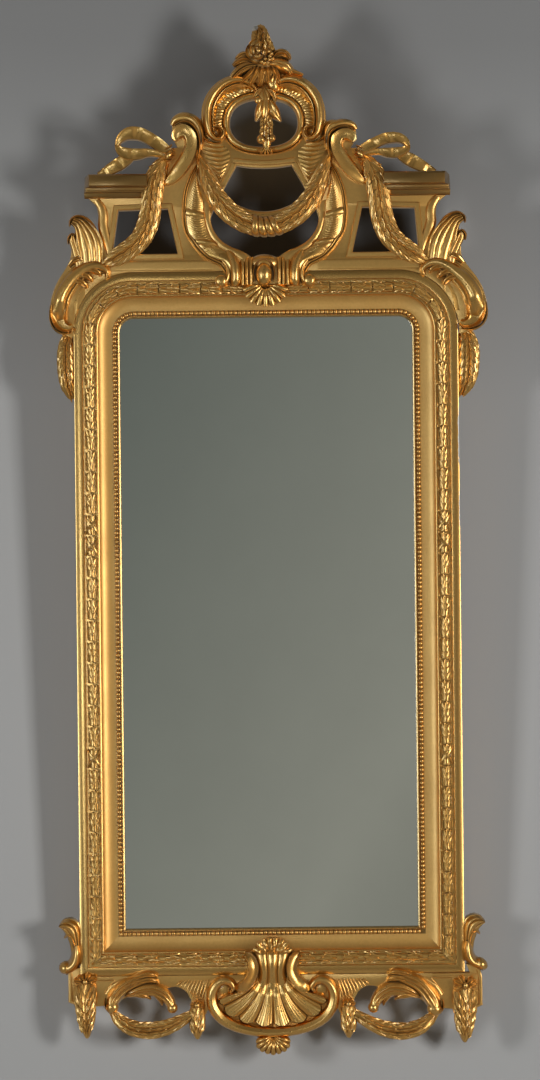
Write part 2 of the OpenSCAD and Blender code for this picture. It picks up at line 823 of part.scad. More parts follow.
// leaf that curls out beside the foot of each stile
module apron_leaf() {
    line = [[-337, -480, 3, 12], [-329, -475, 6, 20], [-319, -479, 9.5, 28], [-315, -493, 10.5, 30],
        [-313, -510, 9.5, 30], [-312, -526, 9, 28], [-317, -541, 9.5, 26], [-327, -549, 8, 22], [-336, -549, 5, 16]];
    difference() {
        union() {
            stem(on_apron(line), board_back - 2);
            disc(-333 * kx, apron_z(-549), 6, board_back - 2, face + 4);
        }
        frame_plate(0, -1, face);
        apron_slot();
    }
}

// space kept free above the outer end of the apron
module apron_slot() {
    slab(on_apron([[-360, -555.7], [-300, -544.7], [-300, -620], [-360, -620]]), board_back - 3, face);
}

module apron_leaf_left() {
    color(gilt) apron_leaf();
}

module apron_leaf_right() {
    color(gilt) at_side(1) apron_leaf();
}

// acanthus over the opening: outer band that ends in a ball, inner band that ends in a curled leaf
module apron_scroll() {
    band = [[-188, -572, 4, 8], [-202, -570, 6, 12], [-221, -572, 7, 13], [-240, -581, 7.5, 14], [-253, -592, 8, 14],
        [-260, -603, 8, 14]];
    leaf = [[-244, -600, 3, 7], [-231, -591, 4, 8], [-214, -587, 5, 9], [-198, -585, 6.5, 10], [-182, -585, 8, 12],
        [-168, -591, 8, 13], [-161, -603, 7, 12], [-162, -616, 3.5, 9]];
    channel = [[-247, -600], [-251, -590], [-238, -579], [-220, -571], [-200, -569], [-186, -573], [-182, -585],
        [-200, -587], [-216, -588], [-233, -592]];
    union() {
        stem(on_apron(band), face);
        stem(on_apron(leaf), face);
        slab(on_apron(channel), face, face + 4);
        disc(-257 * kx, apron_z(-611), 11, face, face + 16);
    }
}

module apron_scroll_left() {
    color(gilt) apron_scroll();
}

module apron_scroll_right() {
    color(gilt) at_side(1) apron_scroll();
}

// garland below the opening, tied to a small laurel drop at its inner end
module apron_garland() {
    line = [[-250, -630, 4, 9], [-242, -637, 8, 14], [-227, -647, 11, 17], [-208, -652, 12, 18], [-189, -652, 12, 18],
        [-170, -648, 11, 17], [-152, -640, 9, 15], [-137, -632, 7, 13], [-124, -625, 5, 10]];
    drop = [[-121, -602, 6, 9], [-121, -612, 10, 13], [-121, -630, 9, 14], [-121, -645, 9.5, 15], [-121, -656, 8, 13],
        [-121, -663, 3, 7]];
    union() {
        stem(on_apron(line), face, steps = 2);
        stem(on_apron(drop), face);
    }
}

module apron_garland_left() {
    color(gilt) apron_garland();
}

module apron_garland_right() {
    color(gilt) at_side(1) apron_garland();
}

module pendant() {
    line = [[-301, -567, 9, 9], [-301, -577, 16, 13], [-301, -591, 15.5, 17], [-301, -607, 14.5, 18],
        [-301, -625, 14, 18], [-301, -641, 12.5, 17], [-301, -654, 8.5, 13], [-301, -663, 2.5, 6]];
    stem(on_apron(line), face);
}

module pendant_left() {
    color(gilt) pendant();
}

module pendant_right() {
    color(gilt) at_side(1) pendant();
}

// palmette and neck that rise over the foot of the frame, between two rolled scrolls
module shell_neck() {
    palmette = [[31, -524], [24, -511], [12, -504], [0, -502], [-12, -504], [-24, -511], [-31, -524]];
    throat = [[0, -523, 24, 10], [0, -531, 30, 18], [0, -545, 27, 22], [0, -560, 25, 20], [0, -575, 29, 15],
        [0, -589, 36, 9]];
    scroll = [[-44, -527, 4, 12], [-35, -536, 7, 18], [-31, -550, 7.5, 21], [-33, -565, 7.5, 20], [-42, -576, 7, 17],
        [-56, -581, 5.5, 12]];
    color(gilt) union() {
        fan([0, apron_z(-536)], on_apron(palmette), band_h, 14, 10, 8, 0.3);
        stem(widen(on_apron(throat)), face);
        for (s = [-1, 1])
            at_side(s) stem(widen(on_apron(scroll)), face);
    }
}

module shell_fan() {
    rim = [[-72, -602], [-82, -606], [-80, -613], [-72, -623], [-55, -633], [-30, -640.5], [0, -643],
        [30, -640.5], [55, -633], [72, -623], [80, -613], [82, -606], [72, -602]];
    color(gilt) fan([0, apron_z(-588)], on_apron(rim), face, 14, 7, 12, 0.12);
}

module shell_rim() {
    left = [[-94, -584, 8, 15], [-97, -600, 8.5, 15], [-92, -617, 9, 15], [-80, -632, 9, 15], [-60, -643.5, 8.5, 15],
        [-32, -651, 8, 15]];
    color(gilt) union() {
        stem(on_apron(concat(left, [[0, -653, 8, 15]], flip(left))), face, steps = 2);
        for (s = [-1, 1])
            disc(s * 79 * kx, apron_z(-584), 15, face, face + 18);
    }
}

module shell_pendant() {
    rim = [[-24, -663.5], [-25, -673], [-19, -683], [0, -690.5], [19, -683], [25, -673], [24, -663.5]];
    color(gilt) fan([0, apron_z(-661.8)], on_apron(rim), face, 14, 10, 8, 0.12);
}

// ---------- hangers ----------

// strap of the left hanger, folded round the bar of the ring
module strap() {
    difference() {
        union() {
            block(-hang_x - knuckle_half, -hang_x + knuckle_half, pocket_d - strap_t, pocket_d, hang_z,
                hang_z + strap_len);
            translate([-hang_x - knuckle_half, -axis_d, hang_z]) rotate([0, 90, 0])
                cylinder(r = knuckle_r, h = 2 * knuckle_half);
        }
        translate([-hang_x - knuckle_half - 1, -axis_d, hang_z]) rotate([0, 90, 0])
            cylinder(r = wire_r + ring_fit, h = 2 * knuckle_half + 2);
        strap_screws();
    }
}

module strap_screws() {
    for (z = strap_screw_z)
        screw(-hang_x, hang_z + z, pocket_d - strap_t, strap_t + 14, screw_r, 3.4, 1.5);
}

// ring of the left hanger, hanging down from its bar
module ring() {
    translate([-hang_x, -axis_d, hang_z]) union() {
        translate([-ring_half, 0, 0]) rotate([0, 90, 0]) cylinder(r = wire_r, h = 2 * ring_half);
        for (s = [-1, 1]) {
            translate([s * ring_half, 0, 0]) sphere(r = wire_r);
            translate([s * ring_half, 0, -ring_side]) cylinder(r = wire_r, h = ring_side);
        }
        translate([0, 0, -ring_side]) rotate([90, 0, 0]) rotate([0, 0, 180])
            rotate_extrude(angle = 180, $fn = 64) translate([ring_half, 0]) circle(r = wire_r, $fn = 32);
    }
}

module hanger_straps() {
    color(steel) for (s = [-1, 1])
        at_side(s) strap();
}

module hanger_screws() {
    color(steel) for (s = [-1, 1])
        at_side(s) strap_screws();
}

module ring_left() {
    color(steel) ring();
}

module ring_right() {
    color(steel) at_side(1) ring();
}

// ---------- drawing ----------

stile_left();
stile_right();
head_rail();
bottom_rail();
corner_left();
corner_right();
laurel_left();
laurel_right();
bead_course();
mirror_glass();
glass_packing();
backboard_upper();
backboard_lower();
backboard_screws();
crest_left();
crest_right();
crest_ring_board();
crest_battens();
apron_battens();
batten_screws();
shelf_left();
shelf_right();
shoulder_scroll_left();
shoulder_scroll_right();
bow_left();
bow_right();
side_garland_left();
side_garland_right();
ear_left();
ear_right();
ring_scroll_left();
ring_scroll_right();
ring_border();
flower_drop();
finial();
harp_left();
harp_right();
swag();
egg_boss();
shell_drop();
apron_left();
apron_right();
apron_leaf_left();
apron_leaf_right();
apron_scroll_left();
apron_scroll_right();
apron_garland_left();
apron_garland_right();
pendant_left();
pendant_right();
shell_neck();
shell_fan();
shell_rim();
shell_pendant();
hanger_straps();
hanger_screws();
ring_left();
ring_right();
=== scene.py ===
"""Carved and gilded pier mirror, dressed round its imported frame."""

import bisect
import math
import random

import bmesh
import bpy
from bpy.props import FloatProperty, FloatVectorProperty, PointerProperty
from mathutils import Matrix, Vector


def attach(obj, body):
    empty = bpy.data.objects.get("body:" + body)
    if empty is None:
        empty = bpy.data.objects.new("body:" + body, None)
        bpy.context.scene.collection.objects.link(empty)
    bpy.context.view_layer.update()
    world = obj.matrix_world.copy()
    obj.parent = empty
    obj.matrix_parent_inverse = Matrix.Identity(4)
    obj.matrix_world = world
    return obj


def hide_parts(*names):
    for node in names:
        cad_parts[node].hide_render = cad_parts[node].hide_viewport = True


bl_info = {
    "name": "Pier mirror",
    "version": (1, 0, 0),
    "blender": (4, 5, 0),
    "location": "3D View > Sidebar > Pier mirror",
    "description": "Carved and gilded pier mirror with a pierced crest and apron",
    "category": "Add Mesh",
}

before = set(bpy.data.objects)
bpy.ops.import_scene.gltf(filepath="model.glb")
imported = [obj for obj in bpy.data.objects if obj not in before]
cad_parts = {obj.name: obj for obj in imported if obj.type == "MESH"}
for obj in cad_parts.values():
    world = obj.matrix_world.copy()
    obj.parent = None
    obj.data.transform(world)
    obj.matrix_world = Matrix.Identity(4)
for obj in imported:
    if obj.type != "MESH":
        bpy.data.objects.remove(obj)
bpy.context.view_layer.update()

# the frame in millimetres: half its width and height, its moulding and its levels above the wall
HALF_W = 307.5
HALF_H = 562.5
CORNER_R = 95.5
CORNER_X = HALF_W - CORNER_R
CORNER_Z = HALF_H - CORNER_R
FACE = 30
SECOND = 38
OVER_LAUREL = 34.5
BOARD_BACK = 12
LAUREL_U = 25.5
LAUREL_SEAT = 27
BEAD_U = 65
OVAL_A = 54
OVAL_B = 38
OVAL_Z = 800
# gap between the boards and the moulding, and how far a carving sinks into what it sits on
SEAM = 0.35
SUNK = 0.6


# ---------- sizes and finishes that a user may change ----------


class LaurelSizes(bpy.types.PropertyGroup):
    """Sizes of the laurel leaves."""

    pitch: FloatProperty(
        name="Bundle pitch", description="distance between two laurel bundles on the frame",
        default=0.034, min=0.02, max=0.06, unit="LENGTH")
    leaf: FloatProperty(
        name="Leaf length", description="length of a laurel leaf on the garlands",
        default=0.022, min=0.015, max=0.05, unit="LENGTH")
    width: FloatProperty(
        name="Leaf width", description="width of a laurel leaf on the garlands",
        default=0.0085, min=0.005, max=0.014, unit="LENGTH")
    thickness: FloatProperty(
        name="Leaf thickness", description="how far a leaf stands off the one below",
        default=0.0017, min=0.0008, max=0.003, unit="LENGTH")


class CourseSizes(bpy.types.PropertyGroup):
    """Sizes of the beads, ribs and edges."""

    bead: FloatProperty(
        name="Bead", description="diameter of a bead at the sight edge",
        default=0.0066, min=0.004, max=0.007, unit="LENGTH")
    bead_pitch: FloatProperty(
        name="Bead pitch", description="distance between two beads",
        default=0.007, min=0.006, max=0.009, unit="LENGTH")
    rib_pitch: FloatProperty(
        name="Rib pitch", description="distance between two ribs of the lyre bands",
        default=0.0035, min=0.003, max=0.008, unit="LENGTH")
    edge: FloatProperty(
        name="Edge", description="rounding of the edges of the pierced boards",
        default=0.001, min=0.0004, max=0.002, unit="LENGTH")


class Finishes(bpy.types.PropertyGroup):
    """Colours of the gilding, the wood and the metal."""

    gold: FloatVectorProperty(
        name="Gold", description="burnished gold leaf", subtype="COLOR", size=3,
        default=(0.86, 0.48, 0.112), min=0, max=1)
    deep_gold: FloatVectorProperty(
        name="Deep gold", description="toned gold leaf in the mottling", subtype="COLOR", size=3,
        default=(0.68, 0.35, 0.066), min=0, max=1)
    # bole is laid into the hollows by an occlusion mask, so there it is partly painted shade
    bole: FloatVectorProperty(
        name="Bole", description="red-brown ground that shows in the hollows", subtype="COLOR", size=3,
        default=(0.11, 0.054, 0.017), min=0, max=1)
    gesso: FloatVectorProperty(
        name="Gesso", description="white ground where the gilding is chipped off", subtype="COLOR", size=3,
        default=(0.62, 0.60, 0.54), min=0, max=1)
    ochre: FloatVectorProperty(
        name="Ochre", description="ochre wash on the back of the frame", subtype="COLOR", size=3,
        default=(0.30, 0.19, 0.075), min=0, max=1)
    pine: FloatVectorProperty(
        name="Pine", description="toned softwood of the back", subtype="COLOR", size=3,
        default=(0.30, 0.175, 0.085), min=0, max=1)
    steel: FloatVectorProperty(
        name="Steel", description="dull steel of the hangers and screws", subtype="COLOR", size=3,
        default=(0.42, 0.41, 0.39), min=0, max=1)
    silver: FloatVectorProperty(
        name="Silver", description="silvering of the mirror plate", subtype="COLOR", size=3,
        default=(0.80, 0.83, 0.79), min=0, max=1)


class StageSizes(bpy.types.PropertyGroup):
    """Camera, lamps and backdrop."""

    distance: FloatProperty(
        name="Camera distance", description="distance of the camera from the wall",
        default=5.03, min=2, max=10, unit="LENGTH")
    lens: FloatProperty(
        name="Lens", description="focal length in millimetres", default=104.17, min=50, max=200)
    left_power: FloatProperty(
        name="Left lamp", description="power of the left softbox",
        default=31, min=0, max=200, unit="POWER")
    right_power: FloatProperty(
        name="Right lamp", description="power of the right softbox",
        default=46, min=0, max=200, unit="POWER")
    front_power: FloatProperty(
        name="Front lamp", description="power of the softbox beside the camera",
        default=13.6, min=0, max=200, unit="POWER")
    wall_power: FloatProperty(
        name="Wall lamps", description="power of each of the two lamps on the wall",
        default=58, min=0, max=200, unit="POWER")
    # the three greys paint the wall darker above the crest and a little below the apron, a painted falloff
    # of the lamps' light
    wall_top: FloatVectorProperty(
        name="Wall above", description="grey of the wall beside the crest", subtype="COLOR", size=3,
        default=(0.30, 0.30, 0.295), min=0, max=1)
    wall_middle: FloatVectorProperty(
        name="Wall beside", description="grey of the wall beside the plate", subtype="COLOR", size=3,
        default=(0.46, 0.46, 0.453), min=0, max=1)
    wall_foot: FloatVectorProperty(
        name="Wall below", description="grey of the wall beside the apron", subtype="COLOR", size=3,
        default=(0.44, 0.44, 0.433), min=0, max=1)


class PierMirror(bpy.types.PropertyGroup):
    """All settings of the pier mirror."""

    laurel: PointerProperty(type=LaurelSizes)
    course: PointerProperty(type=CourseSizes)
    finish: PointerProperty(type=Finishes)
    stage: PointerProperty(type=StageSizes)


def settings():
    """Sizes and colours of the open scene."""
    return bpy.context.scene.pier_mirror


# ---------- curves ----------


def mix(a, b, f):
    """Stations between a and b, at the share f of the way."""
    return tuple(p + (q - p) * f for p, q in zip(a, b))


def curve_at(a, b, c, d, t):
    """Point of a smooth curve between b and c, where t runs from 0 to 1."""
    point = []
    for p, q, r, s in zip(a, b, c, d):
        bend, twist = 2 * p - 5 * q + 4 * r - s, 3 * q - p - 3 * r + s
        point.append(0.5 * (2 * q + (r - p) * t + bend * t * t + twist * t * t * t))
    return tuple(point)


def smooth(points, n, closed=False):
    """Smooth curve through the points, with n steps in each span."""
    count = len(points)
    if closed:
        return [curve_at(points[i - 1], points[i], points[(i + 1) % count], points[(i + 2) % count], k / n)
                for i in range(count) for k in range(n)]
    out = [curve_at(points[max(i - 1, 0)], points[i], points[i + 1], points[min(i + 2, count - 1)], k / n)
           for i in range(count - 1) for k in range(n)]
    return out + [tuple(points[-1])]


def spread(points, n):
    """The same line as n + 1 points at even distances."""
    run = [0.0]
    for a, b in zip(points, points[1:]):
        run.append(run[-1] + math.dist(a[:2], b[:2]))
    out = []
    for k in range(n + 1):
        s = run[-1] * k / n
        i = min(max(bisect.bisect_right(run, s) - 1, 0), len(points) - 2)
        out.append(mix(points[i], points[i + 1], (s - run[i]) / max(run[i + 1] - run[i], 1e-9)))
    return out


def flip(points):
    """The line mirrored to the other side, drawn the other way round."""
    return [(-p[0],) + tuple(p[1:]) for p in reversed(points)]


def angles(first, last, n):
    """n + 1 angles at even distances, from degrees to radians."""
    return [math.radians(first + (last - first) * i / n) for i in range(n + 1)]


def corner_arc(radius, first, last, n):
    """Arc round the upper left corner of the frame, from angles above the left."""
    return [(-CORNER_X - radius * math.cos(a), CORNER_Z + radius * math.sin(a))
            for a in angles(first, last, n)]


def share(value, low, high):
    """How far a value has gone from low to high, between 0 and 1."""
    return min(max((value - low) / (high - low), 0), 1)


def lobes(turns):
    """Row of rounded lobes, one for each whole number: 0 between them and 1 on their crowns."""
    return abs(math.sin(math.pi * turns))


# ---------- sections across a carved band: t runs from -1 to 1 ----------


def round_top(t, s=0):
    return math.sqrt(max(0.0, 1 - t ** 2))


def flat_top(t, s):
    """Section of a flat strip."""
    return (1 - t ** 8) ** 0.5


def scroll_tube(t, s):
    """Tube with a low border outside and a ridge inside."""
    t = -t
    if t > 0.72:
        return 0.42 * round_top(((t - 0.72) / 0.28) ** 2) + 0.02
    if t < -0.66:
        return 0.30 + 0.28 * round_top((t + 0.83) / 0.17)
    return 0.36 + 0.64 * round_top((t - 0.03) / 0.69)


def ribbon(t, s):
    """Thin cloth, a little hollow, with rolled edges."""
    r = abs(t)
    if r > 0.93:
        return 0.45 + 0.55 * round_top((r - 0.93) / 0.07)
    return 0.86 + 0.14 * (r / 0.93) ** 3


def fluted(count, depth=0.35):
    """Round band cut into long flutes."""
    def section(t, s):
        cut = lobes(count * (t + 1) / 2)
        return round_top(t * 0.97, s) * (1 - depth + depth * cut)
    return section


# ---------- carving ----------


class Carving:
    """Closed shells gathered in millimetres, as x, height above the wall and z."""

    def __init__(self):
        self.verts = []
        self.faces = []

    def add(self, verts, faces):
        n = len(self.verts)
        self.verts += verts
        self.faces += [tuple(n + i for i in f) for f in faces]

    def loft(self, rows, closed=False):
        """Skin over rows of points, each a closed loop, with flat ends unless the rows close too."""
        n, m = len(rows), len(rows[0])
        faces = []
        for i in range(n if closed else n - 1):
            a, b = i * m, (i + 1) % n * m
            faces += [(a + k, b + k, b + (k + 1) % m, a + (k + 1) % m) for k in range(m)]
        if not closed:
            faces.append(tuple(range(m - 1, -1, -1)))
            faces.append(tuple((n - 1) * m + k for k in range(m)))
        self.add([tuple(p) for r in rows for p in r], faces)

    def relief(self, rows, back, closed=False):
        """Carved front over a flat back."""
        self.loft([list(r) + [(r[-1][0], back, r[-1][2]), (r[0][0], back, r[0][2])] for r in rows], closed)

    def band(self, stations, back, section, fine=6, across=12, closed=False, wave=None):
        """Band along stations of x, z, half width and height, with that section."""
        points = smooth(stations, fine, closed)
        n = len(points)
        rows = []
        for i, (x, z, w, h) in enumerate(points):
            a = points[i - 1] if closed or i else points[i]
            b = points[(i + 1) % n] if closed or i < n - 1 else points[i]
            d = math.dist(a[:2], b[:2]) or 1
            nx, nz = -(b[1] - a[1]) / d, (b[0] - a[0]) / d
            s = i / (n - 1)
            k = wave(s) if wave else 1
            row = []
            for j in range(across + 1):
                t = -math.cos(math.pi * j / across)
                row.append((x + nx * w * t, back + h * k * max(section(t, s), 0.04), z + nz * w * t))
            rows.append(row)
        self.relief(rows, back - SUNK, closed)

    def sheet(self, left, right, back, height, n=40, m=16):
        """Carved ground between two lines, with a height for each place along s and across t."""
        a, b = spread(left, n), spread(right, n)
        rows = []
        for i in range(n + 1):
            row = []
            for j in range(m + 1):
                x, z = mix(a[i][:2], b[i][:2], j / m)
                row.append((x, back + height(i / n, j / m), z))
            rows.append(row)
        self.relief(rows, back - SUNK)

    def shell(self, apex, rim, back, height, start=0.15, n=60, m=10, scallop=0.05, flutes=8, flowing=False):
        """Fluted fan between its apex and its rim; flowing rays leave side by side and turn outwards."""
        line = spread(smooth(rim, 6), n)
        rows = []
        for i, p in enumerate(line):
            cut = lobes(flutes * i / n)
            row = []
            for j in range(m + 1):
                r = j / m
                trim = 1 - scallop * (1 - cut ** 0.6) * r
                if flowing:
                    x = apex[0] + (p[0] - apex[0]) * (start + (1 - start) * r ** 1.5) * trim
                    z = apex[1] + (p[1] - apex[1]) * r ** 0.85 * trim
                else:
                    x, z = mix(apex, p[:2], (start + (1 - start) * r) * trim)
                row.append((x, back + height(i / n, r, cut), z))
            rows.append(row)
        self.relief(rows, back - SUNK)

    def stamp(self, mesh, place):
        """Copy of a shape made once, put in place by a matrix in x, height and z."""
        verts, faces = mesh
        self.add([tuple(place @ Vector(v)) for v in verts], faces)

    def ball(self, x, z, r, h, depth=None, tall=None, turn=0.0, shape="ball"):
        """Ball at height h, or an egg where its depth or height differs, turned to its left by an angle."""
        size = Matrix.Diagonal((r, depth or r, tall or r, 1))
        self.stamp(SHAPES[shape], Matrix.Translation((x, h, z)) @ Matrix.Rotation(turn, 4, "Y") @ size)

    def disc(self, x, z, r, h, depth, shape):
        """Disc whose back lies at height h."""
        self.ball(x, z, r, h, depth, shape=shape)

    def mirrored(self):
        other = Carving()
        other.verts = [(-x, h, z) for x, h, z in self.verts]
        other.faces = list(self.faces)
        return other

    def double(self):
        """Adds the mirror image of all that is there."""
        other = self.mirrored()
        self.add(other.verts, other.faces)

    def finish(self, name, nodes, finish, angle=42, bevel=0):
        """Makes the piece, lets it stand for its nodes and gives it its finish."""
        mesh = bpy.data.meshes.new(name)
        mesh.from_pydata([(x / 1000, -h / 1000, z / 1000) for x, h, z in self.verts], [], self.faces)
        piece = bpy.data.objects.new(name, mesh)
        bpy.context.scene.collection.objects.link(piece)
        return hand_in(piece, nodes, finish_for(finish), angle, bevel)


def clear_selection():
    for o in bpy.context.selected_objects:
        o.select_set(False)


def select_only(piece):
    clear_selection()
    piece.select_set(True)
    bpy.context.view_layer.objects.active = piece


def right_side(x, z):
    """Shift in x and z: the right is wider than the left, with lower shoulders and a deeper apron."""
    if z < 0:
        wider = 9 * share(x, 250, 295) * share(-z, HALF_H - 20, HALF_H + 5)
        return wider, -11 * share(x, 120, 300) * share(-z, 565, 600)
    crest = share(z, 580, 640)
    wider = 9 * (share(x, HALF_W - 6, 345) * (1 - crest) + share(x, 130, 285) * crest)
    return wider, -0.18 * max(z - 745, 0) * share(x, 92, 115)


def hand_in(piece, nodes, finish, angle, bevel=0):
    """Last steps of a piece: widened on the right, edges eased, shaded, and given its finish and nodes."""
    shape = bmesh.new()
    shape.from_mesh(piece.data)
    if not piece.name.startswith("moulded"):
        for v in shape.verts:
            dx, dz = right_side(v.co.x * 1000, v.co.z * 1000)
            v.co.x += dx / 1000
            v.co.z += dz / 1000
    bmesh.ops.recalc_face_normals(shape, faces=shape.faces)
    shape.to_mesh(piece.data)
    shape.free()
    select_only(piece)
    if bevel:
        step = piece.modifiers.new("Edge", "BEVEL")
        step.width = bevel / 1000
        step.segments = 2
        step.limit_method = "ANGLE"
        step.angle_limit = math.radians(35)
        bpy.ops.object.modifier_apply(modifier=step.name)
    bpy.ops.object.shade_smooth_by_angle(angle=math.radians(angle))
    piece.data.materials.clear()
    piece.data.materials.append(finish)
    # the back is not gilded
    piece.data.materials.append(finish_for("ochre_back"))
    for face in piece.data.polygons:
        if face.normal.y > 0.7 and face.center.y > -0.0135:
            face.material_index = 1
    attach(piece, "mirror")
    if nodes:
        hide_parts(*nodes)
    return piece


class Rod:
    """Rod that leaves are laid on: stations of x, z, half width and height over the level back."""

    def __init__(self, stations, back, fine=6):
        self.points = smooth(stations, fine)
        self.back = back
        self.run = [0.0]
        for a, b in zip(self.points, self.points[1:]):
            self.run.append(self.run[-1] + math.dist(a[:2], b[:2]))
        self.length = self.run[-1]

    def at(self, s):
        inside = min(max(s, 0.0), self.length)
        i = min(max(bisect.bisect_right(self.run, inside) - 1, 0), len(self.points) - 2)
        step = max(self.run[i + 1] - self.run[i], 1e-9)
        p = mix(self.points[i], self.points[i + 1], (inside - self.run[i]) / step)
        a, b = self.points[max(i - 1, 0)], self.points[min(i + 2, len(self.points) - 1)]
        d = math.dist(a[:2], b[:2])
        tx, tz = (b[0] - a[0]) / d, (b[1] - a[1]) / d
        over = s - inside
        return p[0] + tx * over, p[1] + tz * over, p[2], p[3], tx, tz

    def place(self, s, angle, lift):
        """Point at arc length s and at that angle round the rod, lifted off its skin."""
        x, z, w, h, tx, tz = self.at(s)
        c, v = math.cos(angle), math.sin(angle)
        m = math.hypot(c * h, v * w) or 1
        across = w * c + lift * c * h / m
        up = h * v + lift * v * w / m
        return x - tz * across, self.back + max(up, -1.0), z + tx * across

    def body(self, carving, shrink=0.8, across=10):
        stations = [(x, z, w * shrink, h * shrink) for x, z, w, h in self.points]
        carving.band(stations, self.back, round_top, fine=1, across=across)

    def leaf(self, carving, s, angle, length, width, turn=0.0, tip=1.5, thick=1.6, way=1):
        """One leaf from s onwards, turned off the rod's line."""
        rows = []
        w, h = self.at(s)[2:4]
        radius = max((w + h) / 2, 3)
        for u, broad, rise in LEAF_OUTLINE:
            row = []
            for t, crown in LEAF_SECTION:
                along, aside = u * length, t * broad * width / 2
                ds = way * (along * math.cos(turn) - aside * math.sin(turn))
                db = along * math.sin(turn) + aside * math.cos(turn)
                row.append(self.place(s + ds, angle + db / radius, thick * rise * crown + tip * u * u))
            rows.append(row)
        carving.loft(rows)


# outline of a laurel leaf: share of its length, share of its width, share of its rise
LEAF_OUTLINE = [(0, 0.35, 0.5), (0.22, 0.86, 0.9), (0.5, 1, 1), (0.78, 0.66, 0.9), (1, 0.04, 0.4)]
# section of the leaf: place across it, share of its thickness
LEAF_SECTION = [(-1, -0.5), (-0.52, 1), (0, 0.35), (0.52, 1), (1, -0.5)]


def dress(carving, rod, length, width, pitch, way=1, start=0.0, end=None, ranks=(0.14, 0.36, 0.64, 0.86),
          splay=0.30, tip=1.6, thick=1.7, seed=1, berries=True):
    """Lays rows of overlapping leaves along a rod."""
    rng = random.Random(seed)
    end = rod.length if end is None else end
    count = max(2, round((end - start) / pitch))
    for k in range(count):
        base = start + (end - start) * (k + 0.5) / count - way * length * 0.45
        for j, place in enumerate(ranks):
            a = math.pi * (place + (0.05 if k % 2 else -0.05))
            side = math.cos(a)
            rod.leaf(carving, base + rng.uniform(-1.5, 1.5) + way * pitch * 0.5 * (j % 2), a,
                     length * rng.uniform(0.88, 1.08), width * rng.uniform(0.9, 1.1),
                     turn=-side * splay * rng.uniform(0.8, 1.2), tip=tip * rng.uniform(0.7, 1.3),
                     thick=thick, way=way)
        if berries and k % 3 == 0:
            a = math.pi * rng.uniform(0.3, 0.7)
            x, h, z = rod.place(base + way * length * 0.5, a, 1.0)
            carving.ball(x, z, 1.7, h, shape="bead")


SHAPES = {}


def take_shape(name):
    """Keeps the active object's mesh as a shape to copy, as x, height and z."""
    bpy.ops.object.transform_apply(location=True, rotation=True)
    piece = bpy.context.active_object
    mesh = piece.data
    SHAPES[name] = ([tuple(v.co) for v in mesh.vertices], [tuple(p.vertices) for p in mesh.polygons])
    bpy.data.objects.remove(piece)
    bpy.data.meshes.remove(mesh)


def make_shapes():
    """Models the round shapes that are copied many times."""
    for name, segments, rings in (("bead", 10, 6), ("ball", 24, 14)):
        clear_selection()
        bpy.ops.mesh.primitive_uv_sphere_add(
            segments=segments, ring_count=rings, radius=1, rotation=(math.pi / 2, 0, 0))
        take_shape(name)
    # discs of radius 1 and height 1, whose fronts face +Y until they are put in place
    button = [(0.12, 0.16), (0.18, 0.12), (0.25, 0.08), (0.25, 0.03)]
    bowl = [(0.10, 0.05), (0.06, -0.10), (0.14, -0.35), (0.25, -0.28), (0.25, -0.08)]
    for name, vertices, steps in (("button", 32, button), ("bowl", 36, bowl)):
        clear_selection()
        bpy.ops.mesh.primitive_cylinder_add(
            vertices=vertices, radius=1, depth=1, location=(0, 0.5, 0), rotation=(-math.pi / 2, 0, 0))
        bpy.ops.object.transform_apply(location=True, rotation=True)
        inset_front(steps)
        take_shape(name)


def inset_front(steps):
    """Insets the front face of the active object again and again, each time moved along Y."""
    piece = bpy.context.active_object
    bpy.ops.object.mode_set(mode="EDIT")
    bpy.ops.mesh.select_mode(type="FACE")
    bpy.ops.mesh.select_all(action="DESELECT")
    shape = bmesh.from_edit_mesh(piece.data)
    front = max(shape.faces, key=lambda f: f.calc_center_median().y)
    front.select_set(True)
    bmesh.update_edit_mesh(piece.data)
    for thickness, lift in steps:
        bpy.ops.mesh.inset(thickness=thickness, depth=0)
        bpy.ops.transform.translate(value=(0, lift, 0))
    bpy.ops.object.mode_set(mode="OBJECT")


# ---------- finishes ----------


class Value:
    """A socket of a node tree, whose maths is written as Python."""

    def __init__(self, owner, socket):
        self.owner = owner
        self.socket = socket

    def sum(self, operation, a, b):
        return self.owner.add("ShaderNodeMath", {"operation": operation}, {0: a, 1: b})

    def __add__(self, other):
        return self.sum("ADD", self, other)

    __radd__ = __add__

    def __sub__(self, other):
        return self.sum("SUBTRACT", self, other)

    def __rsub__(self, other):
        return self.sum("SUBTRACT", other, self)

    def __mul__(self, other):
        return self.sum("MULTIPLY", self, other)

    __rmul__ = __mul__

    def __truediv__(self, other):
        return self.sum("DIVIDE", self, other)

    def __rtruediv__(self, other):
        return self.sum("DIVIDE", other, self)

    def __pow__(self, other):
        return self.sum("POWER", self, other)

    def over(self, low, high):
        """0 below low, 1 above high, even between."""
        values = {0: self, 1: low, 2: high, 3: 0.0, 4: 1.0}
        return self.owner.add("ShaderNodeMapRange", {"clamp": True}, values)


